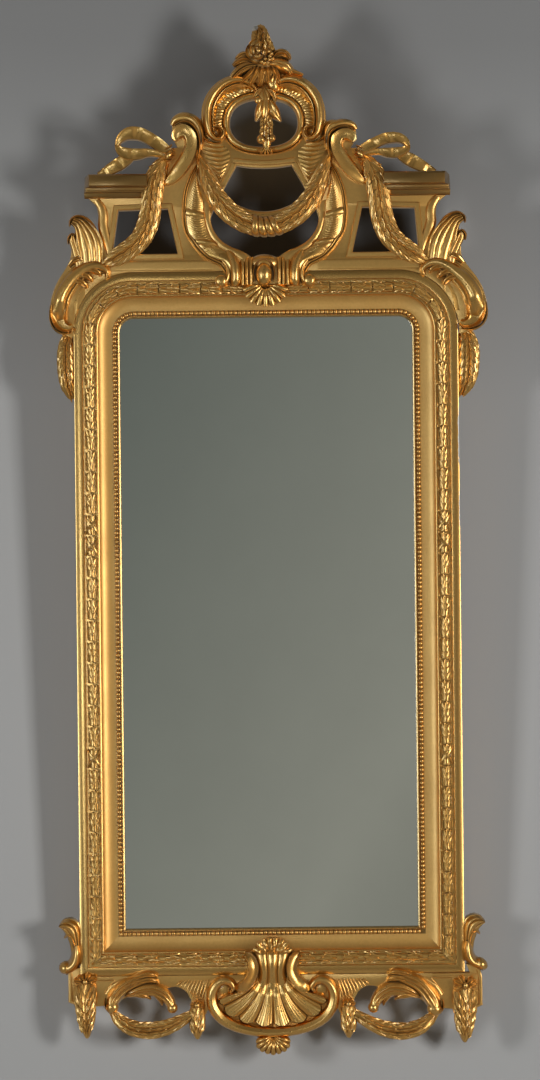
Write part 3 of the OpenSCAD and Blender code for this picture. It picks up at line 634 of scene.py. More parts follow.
class Nodes:
    """Node tree of a material or of the world."""

    def __init__(self, owner, kind):
        owner.use_nodes = True
        self.tree = owner.node_tree
        self.tree.nodes.clear()
        self.output = self.tree.nodes.new(kind)

    def show(self, shader):
        """Makes that shader the one that is seen."""
        self.tree.links.new(shader.socket, self.output.inputs[0])

    def add(self, kind, choices, values, output=0):
        """New node with its settings and the values or links of its sockets."""
        node = self.tree.nodes.new(kind)
        for key, value in choices.items():
            if key == "stops":
                ramp = node.color_ramp.elements
                while len(ramp) > 1:
                    ramp.remove(ramp[-1])
                ramp[0].position, ramp[0].color = value[0]
                for place, colour in value[1:]:
                    ramp.new(place).color = colour
            else:
                setattr(node, key, value)
        for key, value in values.items():
            if isinstance(value, Value):
                self.tree.links.new(value.socket, node.inputs[key])
            else:
                node.inputs[key].default_value = value
        return Value(self, node.outputs[output])

    def length(self, vector):
        return self.add("ShaderNodeVectorMath", {"operation": "LENGTH"}, {0: vector}, "Value")

    def part(self, vector, axis):
        return self.add("ShaderNodeSeparateXYZ", {}, {0: vector}, axis)

    def blend(self, factor, a, b):
        return self.add("ShaderNodeMix", {"data_type": "RGBA"}, {0: factor, 6: a, 7: b}, 2)

    def ramp(self, factor, stops):
        return self.add("ShaderNodeValToRGB", {"stops": stops}, {0: factor})


class Finish(Nodes):
    """One material with its principled shader."""

    def __init__(self, name):
        self.material = bpy.data.materials.new(name)
        super().__init__(self.material, "ShaderNodeOutputMaterial")
        self.shader = self.tree.nodes.new("ShaderNodeBsdfPrincipled")
        self.show(self.surface())

    def surface(self):
        return Value(self, self.shader.outputs[0])

    def place(self):
        return self.add("ShaderNodeTexCoord", {}, {}, "Object")

    def oval(self, place, x, z, wide, high):
        """Distance from a middle, 1 at the edge of an oval with those half widths."""
        where = {"Vector": place, "Location": (-x / wide, 0, -z / high), "Scale": (1 / wide, 0, 1 / high)}
        return self.length(self.add("ShaderNodeMapping", {}, where))

    def noise(self, scale, detail=3, rough=0.5, stretch=None, place=None):
        where = place or self.place()
        if stretch:
            where = self.add("ShaderNodeMapping", {}, {"Vector": where, "Scale": stretch})
        values = {"Vector": where, "Scale": scale, "Detail": detail, "Roughness": rough}
        return self.add("ShaderNodeTexNoise", {}, values)

    def crevice(self, distance):
        """1 in the hollows of a piece, 0 on its open faces."""
        choices = {"samples": 6, "only_local": True}
        return 1 - self.add("ShaderNodeAmbientOcclusion", choices, {"Distance": distance}, "AO")

    def set(self, **values):
        for key, value in values.items():
            socket = self.shader.inputs[key.replace("_", " ")]
            if isinstance(value, Value):
                self.tree.links.new(value.socket, socket)
            else:
                socket.default_value = value
        return self.material

    def bump(self, height, depth, strength=0.5):
        return self.add("ShaderNodeBump", {}, {"Height": height, "Distance": depth, "Strength": strength},
                        "Normal")


def colour(value):
    return tuple(value) + (1.0,)


def gilding(name, gloss, mottle=1.0, toned=0.0, chips=(), shade=1.0):
    """Gold leaf over bole.

    gloss is the roughness of the open faces, and chips are ovals where the white ground shows."""
    c = settings().finish
    f = Finish(name)
    cloud = f.noise(16, 3, 0.6)
    fine = f.noise(240, 3, 0.6)
    worn = f.noise(70, 4, 0.65)
    # occlusion mask of the hollows: bole and a duller, less metallic leaf are laid in there, partly the
    # real ground and partly painted shade
    hollow_shade_mask = f.crevice(0.007)
    # toned and shade darken the leaf into a darker copy that stands for painted shade
    gold = f.blend((cloud * 0.7 + fine * 0.5 - 0.1 + toned).over(0.3, 0.85),
                   colour(v * shade for v in c.gold), colour(v * shade for v in c.deep_gold))
    ground = (hollow_shade_mask * 1.25 + worn * 0.5 - 0.42).over(0.12, 0.78)
    base = f.blend(ground * 0.85, gold, colour(c.bole))
    rubbed = (worn * 0.6 + fine * 0.55).over(0.74, 0.80) * 0.55
    base = f.blend(rubbed * mottle, base, (0.42, 0.20, 0.065, 1))
    metal = 1 - ground * 0.5
    for chip in chips:
        front = f.part(f.place(), "Y").over(-0.022, -0.027)
        away = f.oval(f.place(), *chip)
        bare = (away + fine * 0.9 + f.noise(60, 3, 0.7) * 1.1).over(1.9, 1.8) * front
        base = f.blend(bare, base, colour(c.gesso))
        metal = metal * (1 - bare)
    f.shader.inputs["Coat Roughness"].default_value = gloss * 0.8
    f.shader.inputs["Coat IOR"].default_value = 1.8
    return f.set(
        Base_Color=base,
        Metallic=metal,
        Coat_Weight=0.55,
        Roughness=fine * 0.16 * mottle + cloud * 0.10 + hollow_shade_mask * 0.35 + (gloss - 0.10),
        Normal=f.bump(fine * 0.6 + worn * 0.4, 0.0006, 0.35 * mottle))


def pine_wood(name):
    c = settings().finish
    f = Finish(name)
    place = f.place()
    grain = f.noise(14, 5, 0.6, stretch=(9.0, 9.0, 0.5), place=place)
    fibre = f.noise(90, 3, 0.6, stretch=(8.0, 8.0, 0.35), place=place)
    stain = f.noise(5, 3, 0.6, place=place)
    dark = tuple(v * 0.45 for v in c.pine) + (1.0,)
    wood = f.blend((grain * 0.9 + fibre * 0.4 - 0.12).over(0.3, 0.85), colour(c.pine), dark)
    wood = f.blend(stain.over(0.45, 0.8) * 0.5, wood, (0.10, 0.055, 0.028, 1))
    return f.set(Base_Color=wood, Roughness=fibre * 0.2 + 0.62,
                 Normal=f.bump(grain * 0.5 + fibre * 0.5, 0.0008, 0.5))


def ochre_wash(name):
    c = settings().finish
    f = Finish(name)
    brushed = f.noise(30, 4, 0.6, stretch=(1.0, 1.0, 0.2))
    grime = f.noise(5, 3, 0.6)
    wash = f.blend(brushed.over(0.3, 0.75), colour(c.ochre), colour(v * 0.6 for v in c.ochre))
    wash = f.blend(grime.over(0.45, 0.8) * 0.5, wash, (0.06, 0.04, 0.022, 1))
    return f.set(Base_Color=wash, Roughness=brushed * 0.15 + 0.72, Normal=f.bump(brushed, 0.0005, 0.4))


def mirror_plate(name):
    c = settings().finish
    f = Finish(name)
    haze = f.noise(6, 4, 0.6)
    speck = f.noise(330, 2, 0.7)
    spots = (speck * 0.75 + haze * 0.35).over(0.74, 0.77)
    tint = f.blend(haze.over(0.35, 0.75), colour(c.silver), tuple(v * 0.955 for v in c.silver) + (1.0,))
    tint = f.blend(spots * 0.22, tint, (0.45, 0.45, 0.42, 1))
    return f.set(Base_Color=tint, Metallic=1.0, Roughness=haze * 0.02 + spots * 0.1 + 0.015)


def dull_steel(name):
    c = settings().finish
    f = Finish(name)
    fine = f.noise(300, 3, 0.6)
    rust = f.noise(60, 4, 0.65)
    spots = rust.over(0.56, 0.72)
    base = f.blend(spots * 0.7, colour(c.steel), (0.12, 0.062, 0.032, 1))
    return f.set(Base_Color=base, Metallic=1 - spots * 0.5, Roughness=fine * 0.2 + spots * 0.25 + 0.28,
                 Normal=f.bump(fine, 0.0003, 0.4))


GILDINGS = {
    "carved_gold": {"gloss": 0.27},
    "leaf_gold": {"gloss": 0.30},
    "flat_gold": {"gloss": 0.29, "mottle": 0.15,
                  "chips": [(0.3078, 0.29, 0.0022, 0.06), (0.3078, 0.18, 0.0016, 0.04)]},
    "cove_gold": {"gloss": 0.52, "mottle": 0.15},
    "board_gold": {"gloss": 0.40, "mottle": 0.2},
    # darker copy of the gilding: painted shade on the shelf fronts and on the floor between the beads
    "dark_gold": {"gloss": 0.32, "mottle": 0.6, "toned": 0.3, "shade": 0.55},
    "worn_gold": {"gloss": 0.30, "chips": [(-0.0125, 0.952, 0.0065, 0.008)]},
}
OTHERS = {"ochre_back": ochre_wash, "pine": pine_wood, "plate": mirror_plate, "steel": dull_steel}
FINISHES = {}


def finish_for(name):
    """The finish of that name, made when it is first asked for."""
    if name not in FINISHES:
        FINISHES[name] = gilding(name, **GILDINGS[name]) if name in GILDINGS else OTHERS[name](name)
    return FINISHES[name]


def dress_node(node, name):
    """Gives a CAD node its finish and leaves its shape."""
    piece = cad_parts[node]
    piece.data.materials.clear()
    piece.data.materials.append(finish_for(name))


def pair(make, name, finish="carved_gold", angle=42):
    """A carving for the left, seed 1, and its fellow for the right, seed 2, with its own irregularities."""
    left = Carving()
    make(left, 1)
    left.finish("carved_" + name + "_left", [name + "_left"], finish, angle)
    right = Carving()
    make(right, 2)
    right.mirrored().finish("carved_" + name + "_right", [name + "_right"], finish, angle)


def single(make, name, finish="carved_gold"):
    """A carving on the middle line."""
    carving = Carving()
    make(carving)
    carving.finish("carved_" + name, [name], finish)


# ---------- moulded frame ----------


def moulding_section():
    """Section of the moulding as u, inwards from the outer edge, and height above the wall."""
    cove = [(38 + 23 * (1 - math.cos(a)), 16 + 11.5 * (1 - math.sin(a))) for a in angles(0, 90, 20)]
    return ([(0, 0), (0, 28.7), (0.3, 29.6), (1.2, 30), (12.4, 30), (13.1, 29.8), (13.5, 29.2),
             (13.7, 27.4), (14.2, 27), (34.3, 27), (34.7, 27.2), (34.9, 28.4), (35.4, 29), (37.3, 29),
             (37.8, 28.7)] + cove + [(68.9, 16), (69.2, 18.8), (69.7, 19.5), (70.8, 19.5), (71.4, 19.1),
                                     (73, 15.5), (73, 12), (64, 12), (64, 6), (56, 6), (56, 0)])


def cut_boxes(piece, boxes):
    """Cuts boxes, given by two corners as x, height and z, out of a piece."""
    for lo, hi in boxes:
        clear_selection()
        centre = [(a + b) / 2000 for a, b in zip(lo, hi)]
        bpy.ops.mesh.primitive_cube_add(size=1, location=(centre[0], -centre[1], centre[2]))
        tool = bpy.context.active_object
        tool.scale = [abs(b - a) / 1000 for a, b in zip(lo, hi)]
        bpy.ops.object.transform_apply(location=True, rotation=True, scale=True)
        select_only(piece)
        cut = piece.modifiers.new("Cut", "BOOLEAN")
        cut.object = tool
        cut.operation = "DIFFERENCE"
        cut.solver = "EXACT"
        bpy.ops.object.modifier_apply(modifier=cut.name)
        mesh = tool.data
        bpy.data.objects.remove(tool)
        bpy.data.meshes.remove(mesh)


def inside(x, z):
    """How far a place of the frame lies inside its outer edge."""
    x, z = abs(x), z if z > CORNER_Z else min(z, -z)
    if z > CORNER_Z and x > CORNER_X:
        return CORNER_R - math.hypot(x - CORNER_X, z - CORNER_Z)
    return min(HALF_W - x, HALF_H - abs(z))


def member(name, rows, boxes=()):
    """One length of the moulding: flats burnished, cove matt, and the floor by the beads darker, painted
    shade.
    """
    carving = Carving()
    carving.loft(rows)
    piece = carving.finish("moulded_" + name, [name], "flat_gold", angle=28)
    cut_boxes(piece, boxes)
    piece.data.materials.append(finish_for("cove_gold"))
    # the floor between the beads gets the darker copy of the gilding, painted shade
    piece.data.materials.append(finish_for("dark_gold"))
    for face in piece.data.polygons:
        x, y, z = (v * 1000 for v in face.center)
        if 38.1 < inside(x, z) < 69 and 15.9 < -y < 28:
            face.material_index = 3 if inside(x, z) > 61.2 else 2
    return piece


class PIER_OT_mouldings(bpy.types.Operator):
    """Moulded members of the rectangular frame, mitred at the foot and turned at the head"""

    bl_idname = "pier.mouldings"
    bl_label = "Mouldings"

    def execute(self, context):
        section = moulding_section()
        apron_slots = [((s * x - 13, -1, -700), (s * x + 13, 12, -HALF_H + 34)) for s in (-1, 1)
                       for x in (117, 293)]
        crest_slots = [((s * 115 - 17, -1, HALF_H - 46), (s * 115 + 17, 12, 700)) for s in (-1, 1)]
        for side, s in (("left", -1), ("right", 1)):
            rows = [[(s * (HALF_W - u), h, -HALF_H + u + 0.08) for u, h in section],
                    [(s * (HALF_W - u), h, CORNER_Z) for u, h in section]]
            x = s * (HALF_W - 28)
            pocket = ((x - 19, -1, 260), (x + 19, 8, 342))
            member("stile_" + side, rows, [pocket] + [box for box in apron_slots if box[0][0] * s > 200])
            rows = []
            out = [(CORNER_R - u, h) for u, h in section]
            for a in angles(0, 90, 28):
                x, z = math.cos(a), math.sin(a)
                rows.append([(s * (CORNER_X + r * x), h, CORNER_Z + r * z) for r, h in out])
            member("corner_" + side, rows)
        member("head_rail", [[(x, h, HALF_H - u) for u, h in section] for x in (-CORNER_X, CORNER_X)],
               crest_slots)
        member("bottom_rail", [[(s * (HALF_W - u - 0.08), h, -HALF_H + u) for u, h in section]
                               for s in (-1, 1)], apron_slots)
        return {"FINISHED"}


def side_line(u, step=12):
    """Line u inside the outer edge, up the left stile and round the corner to the middle of the head."""
    z0 = -HALF_H + u
    count = round((CORNER_Z - z0) / step)
    line = [(-HALF_W + u, z0 + (CORNER_Z - z0) * i / count) for i in range(count)]
    line += corner_arc(CORNER_R - u, 0, 90, 16)
    count = round(CORNER_X / step)
    return line + [(-CORNER_X + CORNER_X * i / count, HALF_H - u) for i in range(1, count + 1)]


def laurel_run(carving, rod, pitch, seed, ribbons=(), sparse=False):
    """Bundles of leaves, parted by deep notches; in sparse ones the smooth stem shows between the tufts."""
    rng = random.Random(seed)
    count = round(rod.length / pitch)
    pitch = rod.length / count
    rows = [((0.90, 0.10), (0.64, 0.08), (0.5, 0.0), (0.36, -0.08), (0.10, -0.10)),
            ((0.86, 0.24), (0.62, 0.14), (0.5, 0.0), (0.38, -0.14), (0.14, -0.24)),
            ((0.90, 0.16), (0.60, 0.10), (0.40, -0.10), (0.10, -0.16))]
    steps = (0.46, 0.26, 0.08) if sparse else (0.60, 0.34, 0.06)
    if sparse:
        rod.body(carving, 0.66)
    for k in range(count):
        s = pitch * k
        if not sparse:
            spine = []
            for f, full in ((0.03, 0.6), (0.08, 0.84), (0.5, 0.88), (0.92, 0.84), (0.97, 0.6)):
                x, z, w, h = rod.at(s + pitch * f)[:4]
                spine.append((x, z, w * full, h * full))
            carving.band(spine, rod.back, round_top, 3, 8)
        for step, row in zip(steps, rows):
            for a, turn in row:
                start = s + pitch * (step + 0.05 * (a == 0.5)) + rng.uniform(-0.6, 0.6)
                turn += rng.uniform(-0.14, 0.14)
                rod.leaf(carving, start, math.pi * a, pitch * 0.38, 5.8, turn=turn, tip=0.7, thick=1.1)
        for a in (0.28, 0.72):
            x, h, z = rod.place(s + pitch * 0.52 + rng.uniform(-6, 6), math.pi * a, 1.2)
            carving.ball(x, z, 1.4, h, shape="bead")
        if any(abs(s + pitch / 2 - r) < pitch * 0.55 for r in ribbons):
            ribbon_tie(carving, rod, s + pitch * 0.5)


def ribbon_tie(carving, rod, s):
    """Two strands of ribbon crossed round the laurel."""
    for way in (-1, 1):
        rows = []
        for i in range(11):
            f = i / 10
            a = math.pi * (0.03 + 0.94 * f)
            at = s + way * (f - 0.5) * 26
            crown = 2.5 + 0.5 * (way > 0)
            rows.append([rod.place(at + u, a, lift)
                         for u, lift in ((-3, -0.4), (-2.4, 2.0), (0, crown), (2.4, 2.0), (3, -0.4))])
        carving.loft(rows)


class PIER_OT_laurel(bpy.types.Operator):
    """Laurel rod in the groove of the frame, and the bead course at the sight edge"""

    bl_idname = "pier.laurel"
    bl_label = "Laurel and beads"

    def execute(self, context):
        sizes = settings()
        pitch = sizes.laurel.pitch * 1000

        def rod_on(line):
            return Rod([(x, z, 8.2, 5.2) for x, z in line], LAUREL_SEAT, fine=2)

        for side in ("left", "right"):
            carving = Carving()
            up = rod_on([p for p in side_line(LAUREL_U) if p[0] <= -27])
            low = -HALF_H + LAUREL_U
            laurel_run(carving, up, pitch, 3 if side == "left" else 4, ribbons=(142 - low, -226 - low))
            foot = rod_on([(-HALF_W + LAUREL_U + 4 + i * 10, low) for i in range(25)])
            laurel_run(carving, foot, pitch, 5 if side == "left" else 6, sparse=True)
            # strap that crosses the mitre
            strap = []
            for i in range(9):
                f = i / 8
                x, z = -289 + 15 * f, -544 + 15 * f
                top = LAUREL_SEAT + 6.2 * lobes(0.08 + 0.84 * f)
                section = ((1.6, LAUREL_SEAT), (1.4, top), (-1.4, top), (-1.6, LAUREL_SEAT))
                strap.append([(x - u, h, z + u) for u, h in section])
            carving.loft(strap)
            if side == "right":
                carving = carving.mirrored()
            carving.finish("carved_laurel_" + side, ["laurel_" + side], "leaf_gold")
        beads = Carving()
        r = sizes.course.bead * 500
        line = side_line(BEAD_U, 4)
        line = line + flip(line)[1:]
        foot = [(-HALF_W + BEAD_U, -HALF_H + BEAD_U), (HALF_W - BEAD_U, -HALF_H + BEAD_U)]
        for path in (line, foot):
            run = sum(math.dist(a, b) for a, b in zip(path, path[1:]))
            places = spread(path, round(run / (sizes.course.bead_pitch * 1000)))
            for x, z in places[:-1] if path is line else places[1:-1]:
                beads.ball(x, z, r * 1.1, 17.2, r, shape="bead")
        beads.finish("bead_row", ["bead_course"], "leaf_gold")
        return {"FINISHED"}


# ---------- mirror plate, back and hangers ----------


class PIER_OT_back(bpy.types.Operator):
    """Mirror plate, backboards, battens, screws and hangers"""

    bl_idname = "pier.back"
    bl_label = "Plate, back and hangers"

    def execute(self, context):
        dress_node("mirror_glass", "plate")
        for node in ("glass_packing", "backboard_upper", "backboard_lower", "crest_battens",
                     "apron_battens"):
            dress_node(node, "pine")
        for node in ("backboard_screws", "batten_screws", "hanger_screws", "hanger_straps", "ring_left",
                     "ring_right"):
            dress_node(node, "steel")
        return {"FINISHED"}


# ---------- pierced boards ----------


def board(name, node, outline, holes=(), side=1):
    """Flat pierced board with rounded edges, from its outline; side -1 turns it to the right."""
    edge = settings().course.edge
    drawn = bpy.data.curves.new(name, "CURVE")
    drawn.dimensions = "2D"
    drawn.fill_mode = "BOTH"
    for loop in [outline] + list(holes):
        line = drawn.splines.new("POLY")
        line.points.add(len(loop) - 1)
        for p, (x, z) in zip(line.points, [q[:2] for q in loop]):
            p.co = (side * x / 1000, z / 1000, 0, 1)
        line.use_cyclic_u = True
    drawn.extrude = (FACE - BOARD_BACK) / 2000 - edge
    drawn.bevel_depth = edge
    drawn.bevel_resolution = 1
    drawn.offset = -edge
    piece = bpy.data.objects.new("board_" + name, drawn)
    bpy.context.scene.collection.objects.link(piece)
    select_only(piece)
    bpy.ops.object.convert(target="MESH")
    piece = bpy.context.active_object
    middle = Matrix.Translation((0, -(BOARD_BACK + FACE) / 2000, 0))
    piece.data.transform(middle @ Matrix.Rotation(math.pi / 2, 4, "X"))
    shape = bmesh.new()
    shape.from_mesh(piece.data)
    bmesh.ops.remove_doubles(shape, verts=shape.verts, dist=0.00002)
    shape.to_mesh(piece.data)
    shape.free()
    hand_in(piece, [node], finish_for("board_gold"), 35)


def border(carving, points, width=3.2, height=1.7, fine=4):
    """Raised strip along a line."""
    carving.band([(p[0], p[1], width, height) for p in points], FACE, flat_top, fine, 8)


WINDOW_EDGE = [(-234.5, 662.5), (-154.6, 664.5), (-139.4, 591.5), (-243.5, 591.5), (-243.5, 600.5)]
EAR_LINE = [(-288, 526), (-288, 545), (-286, 575), (-278, 600), (-265, 625)]
HOLLOW_EDGE = [(-265, 625), (-267, 640), (-266, 655), (-270, 670), (-284, 684)]
HARP_OPENING = [(-62, 700), (-79, 668), (-87, 645), (-82, 628), (-70, 612), (-55, 602), (-40, 596),
                (-28, 590), (-20, 583)]
WINDOW = [(-234, 662), (-155, 664), (-140, 592), (-243, 592), (-243, 600)]
RING_FLANK = [(-168, 700), (-172, 720), (-166, 742), (-158, 758)]
RING_VOLUTE = [(-138, 762), (-144, 774), (-147, 790), (-143, 802), (-130, 812), (-112, 814), (-103, 806)]
RING_SHOULDER = [(-99, 808), (-97, 824), (-92, 840), (-80, 858), (-62, 871), (-44, 877)]
RING_TONGUE = [(-40, 878), (-28, 888), (-20, 905), (-12, 924), (0, 930)]
RING_LOWER = [(-44, 732), (-22, 729), (0, 728)]


def oval(a, b, step=6, start=0, end=360):
    """Fuller than an ellipse at its four shoulders."""
    out = []
    for v in range(start, end + (0 if end - start == 360 else 1), step):
        c, s = math.cos(math.radians(v)), math.sin(math.radians(v))
        full = 1 + 0.055 * math.sin(math.radians(2 * v)) ** 2
        out.append((a * c * full, OVAL_Z + b * s * full))
    return out


def frame_strip(c, loop, width, height):
    """Mitred strip with rounded edges round an opening, its inner edge on the loop."""
    n = len(loop)
    area = sum(a[0] * b[1] - b[0] * a[1] for a, b in zip(loop, loop[1:] + loop[:1]))
    way = -1 if area > 0 else 1
    section = [(0, -SUNK), (0, height * 0.7), (0.12, height), (0.5, height * 1.05), (0.88, height),
               (1, height * 0.7), (1, -SUNK)]
    rows = []
    for i, p in enumerate(loop):
        a, b = loop[i - 1], loop[(i + 1) % n]
        na = Vector((p[1] - a[1], a[0] - p[0])).normalized() * -way
        nb = Vector((b[1] - p[1], p[0] - b[0])).normalized() * -way
        corner = (na + nb) / max(1 + na.dot(nb), 0.3)
        rows.append([(p[0] + corner.x * width * u, FACE + h, p[1] + corner.y * width * u)
                     for u, h in section])
    c.loft(rows, closed=True)


class PIER_OT_crest_boards(bpy.types.Operator):
    """Pierced boards of the crest with their raised borders and shelves"""

    bl_idname = "pier.crest_boards"
    bl_label = "Crest boards"

    def execute(self, context):
        outline = ([(0, HALF_H + SEAM)] + corner_arc(CORNER_R + SEAM, 90, 38, 10) + smooth(EAR_LINE, 4)[1:]
                   + smooth(HOLLOW_EDGE, 5)[1:] + [(-284, 700), (-62, 700)] + smooth(HARP_OPENING, 5)[1:]
                   + [(0, 583)])
        for side, s in (("left", 1), ("right", -1)):
            board("crest_" + side, "crest_" + side, outline, [WINDOW], s)
        left = []
        for line in (RING_FLANK, RING_VOLUTE, RING_SHOULDER, RING_TONGUE):
            left += smooth(line, 4)
        lower = [(-62, 700)] + smooth(RING_LOWER, 4)
        ring = left + flip(left)[1:] + [(-x, z) for x, z in lower] + list(reversed(lower))[1:]
        board("crest_ring", "crest_ring_board", ring, [oval(OVAL_A, OVAL_B, 5)])
        self.borders()
        self.shelves()
        return {"FINISHED"}

    def borders(self):
        """Borders beside the openings and on the hollow shoulders, and the strip at the foot."""
        c = Carving()
        frame_strip(c, WINDOW_EDGE, 8, 3.6)
        c.band([(-249, 590, 4, 4), (-250.5, 605, 6.5, 5), (-255.5, 622, 8, 5.5), (-258.6, 640, 8, 5.5),
                (-258.2, 655, 7.6, 5.5), (-261, 667, 7, 5), (-269, 679, 5.4, 4)], FACE - 1, round_top, 5,
               12)
        c.band([(-246, 573, 8.3, 1.6), (-200, 573, 8.3, 1.6), (-140, 573, 8.3, 1.6), (-84, 573, 8.3, 1.6)],
               FACE, flat_top, 2, 10)
        # the gesso runs over the joint of the boards
        c.sheet([(-178, 669.5), (-176, 684), (-170, 700), (-158, 706), (-132, 722)],
                [(-124, 669.5), (-124, 684), (-121, 700), (-113, 715), (-108, 730)], FACE, lambda s, t: 0.7,
                8, 4)
        border(c, [(-66, 701), (-57, 718), (-48.5, 735)], 4.2, 3)
        outer = smooth([(-98, 676), (-97, 662), (-96, 650), (-93, 635), (-86, 618), (-73, 602), (-58, 592),
                        (-44, 580), (-34, 566)], 5)
        inner = smooth([(-83, 672), (-86.5, 660), (-86.6, 645), (-81.5, 628), (-69.5, 612), (-54.5, 602),
                        (-39.5, 596), (-28.5, 589), (-22, 578)], 5)
        c.sheet(outer, inner, FACE,
                lambda s, t: (2.2 + 4.6 * s) * (0.25 + 0.75 * lobes(0.12 + 0.8 * t) ** 0.7), 44, 12)
        c.double()
        border(c, [(-49, 740), (-24, 737), (0, 736), (24, 737), (49, 740)], 4.2, 3, fine=6)
        border(c, [(-50, 743.5), (-24, 740.4), (0, 739.4), (24, 740.4), (50, 743.5)], 1.0, 1.2, fine=6)
        c.finish("crest_borders", [], "board_gold", angle=35)

    def shelves(self):
        """Cornice shelf of each shoulder, with its canted outer end."""
        section = [(30, 681), (31.5, 681.4), (33.2, 683), (34.6, 686.6), (36, 690), (44, 690), (44.4, 692),
                   (46, 692.4), (46.4, 696.4), (47.6, 697), (58, 697), (60.5, 697.6), (61.8, 699),
                   (62, 713), (61.4, 714.8), (58, 717), (12, 717), (12, 700.2), (30, 700.2)]
        for side in ("left", "right"):
            c = Carving()
            c.loft([[(-288 + max(0, h - 38) * 10 / 25, h, z) for h, z in section],
                    [(-187, h, z) for h, z in section]])
            if side == "right":
                c = c.mirrored()
            # the shelf is gilded in the darker copy of the gilding, painted shade
            c.finish("shelf_board_" + side, ["shelf_" + side], "dark_gold", angle=30, bevel=0.5)


# ---------- carving of the crest ----------


def ridge(c, points, width, height, back=FACE):
    """Thin raised line along points, thinner at both ends."""
    n = len(points) - 1
    c.band([(p[0], p[1], width * (0.45 if i in (0, n) else 1), height * (0.7 if i in (0, n) else 1))
            for i, p in enumerate(points)], back, round_top, 5, 6)


def dished(t, s):
    """Broad face that leans to the left behind a thin rim."""
    if t < -0.88:
        return 0.42 + 0.58 * round_top((t + 0.88) / 0.12)
    face = 0.84 + 0.10 * (t / 0.88) ** 2 - 0.06 * t
    return face * round_top(max(t - 0.5, 0) / 0.5)


def shoulder_scroll(c, seed):
    """Broad scroll that stands on the shoulder, with the volute that rolls over its top."""
    c.band([(-161, 702, 3, 8), (-151, 709, 8, 13), (-139.5, 721, 11.4, 17), (-128, 737, 12, 19),
            (-120, 752, 11.4, 20), (-116.5, 766, 10.6, 20), (-118.5, 778.5, 10.8, 20), (-127, 786, 11, 20),
            (-136, 783.5, 10.6, 20), (-140.5, 776.5, 7.4, 18), (-141, 771, 2.5, 15)], FACE, dished, 8, 28)
    c.band([(-147, 797, 3, 6), (-142, 804, 6.5, 10), (-133, 808.5, 8.8, 13), (-121, 808, 9.6, 15),
            (-110, 801.5, 9.6, 15), (-103, 789, 8.4, 14), (-100.5, 773, 6, 12), (-102, 757, 3, 8)], FACE,
           round_top, 6, 14)
    ridge(c, [(-107, 738), (-103, 754), (-102.5, 770), (-106.5, 786), (-117, 798.5), (-130, 801.5),
              (-142, 796)], 1.7, 8, FACE + 11)
    ridge(c, [(-127, 813), (-114, 809), (-104, 798.5), (-98.5, 783), (-98, 765)], 1.6, 4, FACE + 12)
    ridge(c, [(-118, 814), (-105, 806), (-95, 792), (-92, 774)], 1.3, 6, FACE + 5)


def bow(c, seed):
    def folds(*creases):
        return lambda s: 1 - sum(d * math.exp(-((s - at) / 0.045) ** 2) for at, d in creases)
    broad = 1.24 if seed == 2 else 1.06
    upper = [(-146, 751, 4, 12), (-158, 759, 8, 14), (-171, 768, 9.4, 14), (-186, 777.5, 9.6, 15),
             (-201, 783.5, 10.2, 16), (-217, 783, 9.4, 16), (-229, 775, 6.4, 15), (-234.5, 765, 3, 12)]
    lower = [(-235, 768, 3, 11), (-230, 757.5, 6.6, 13), (-217, 751.5, 9, 13), (-201, 751, 8.6, 13),
             (-185, 753, 6.4, 12), (-167, 750.5, 4.8, 11), (-151, 745, 3, 10)]
    c.band([(x, z, w * broad, h) for x, z, w, h in upper], FACE + 2, ribbon, 8, 16,
           wave=folds((0.34, 0.10), (0.58, 0.14)))
    c.band([(x, z, w * broad, h) for x, z, w, h in lower], FACE, ribbon, 7, 14,
           wave=folds((0.40, 0.12), (0.66, 0.14)))
    if seed == 2:
        c.verts = [(-152 + 0.88 * (x + 152), h, 748 + 0.86 * (z - 748)) for x, h, z in c.verts]
    c.band([(-206, 752, 5, 8), (-217, 745, 9.4, 11), (-230, 736.5, 10.6, 12), (-243, 729, 9.6, 11),
            (-254, 723.5, 7.4, 9), (-266, 719.5, 3, 6)], FACE, ribbon, 7, 14,
           wave=folds((0.40, 0.16), (0.80, 0.22)))
    c.band([(-157, 744, 4, 10), (-166, 736, 6.5, 11), (-176, 731, 5, 9), (-184, 729, 2.5, 7)], FACE, ribbon,
           6, 12)
    # gathers of the knot
    for x0, z0, x1, z1, w in ((-160, 757, -147, 766, 2.6), (-158, 753, -144, 760, 2.4),
                              (-156, 749, -143, 755, 2.2), (-157, 745, -143, 748, 2.4),
                              (-158, 741, -148, 741, 2.2)):
        ridge(c, [(x0, z0), ((x0 + x1) / 2, (z0 + z1) / 2 - 2.2), (x1, z1)], w, 19)
    c.ball(-152, 748, 6, FACE + 8, 11, 10, 0.5)


def side_garland(c, seed):
    """Garland that hangs from the shoulder scroll beside the window."""
    rod = Rod([(-159, 741, 7, 10), (-167, 729, 12, 15), (-175.5, 708, 15, 20), (-180, 684, 15, 20),
               (-182.5, 660, 15, 18), (-187, 640, 15, 18), (-196, 620, 14.6, 18), (-211, 604, 14, 18),
               (-230, 591, 13.4, 16), (-246, 582, 9, 14), (-256, 577, 3.5, 9)], FACE, 4)
    garland(c, rod, seed)


def garland(c, rod, seed, way=1, start=0.0, end=None, body=True, long=1.0):
    """Rod thickly laid with laurel."""
    sizes = settings().laurel
    ranks = (0.07, 0.21, 0.36, 0.5, 0.64, 0.79, 0.93)
    if body:
        rod.body(c, 0.92)
    dress(c, rod, sizes.leaf * 1000 * long, sizes.width * 1000 * (0.5 + 0.5 * long), 8.5 * long, way, start,
          end, ranks, thick=sizes.thickness * 1000, seed=seed)


def leaf_flutes(count, crown, depth):
    """Height of a broad leaf that is cut into uneven flutes and swells towards its tip."""
    def height(s, t):
        turn = t + 0.05 * math.sin(3 * s) + 0.035 * math.sin(9 * t)
        cut = lobes(count * turn) ** 0.75
        arch = lobes(0.12 + 0.76 * t)
        return crown * (0.45 + 0.55 * arch) * (0.70 + 0.40 * s) + depth * (cut - 0.6) * (0.6 + 0.4 * s)
    return height


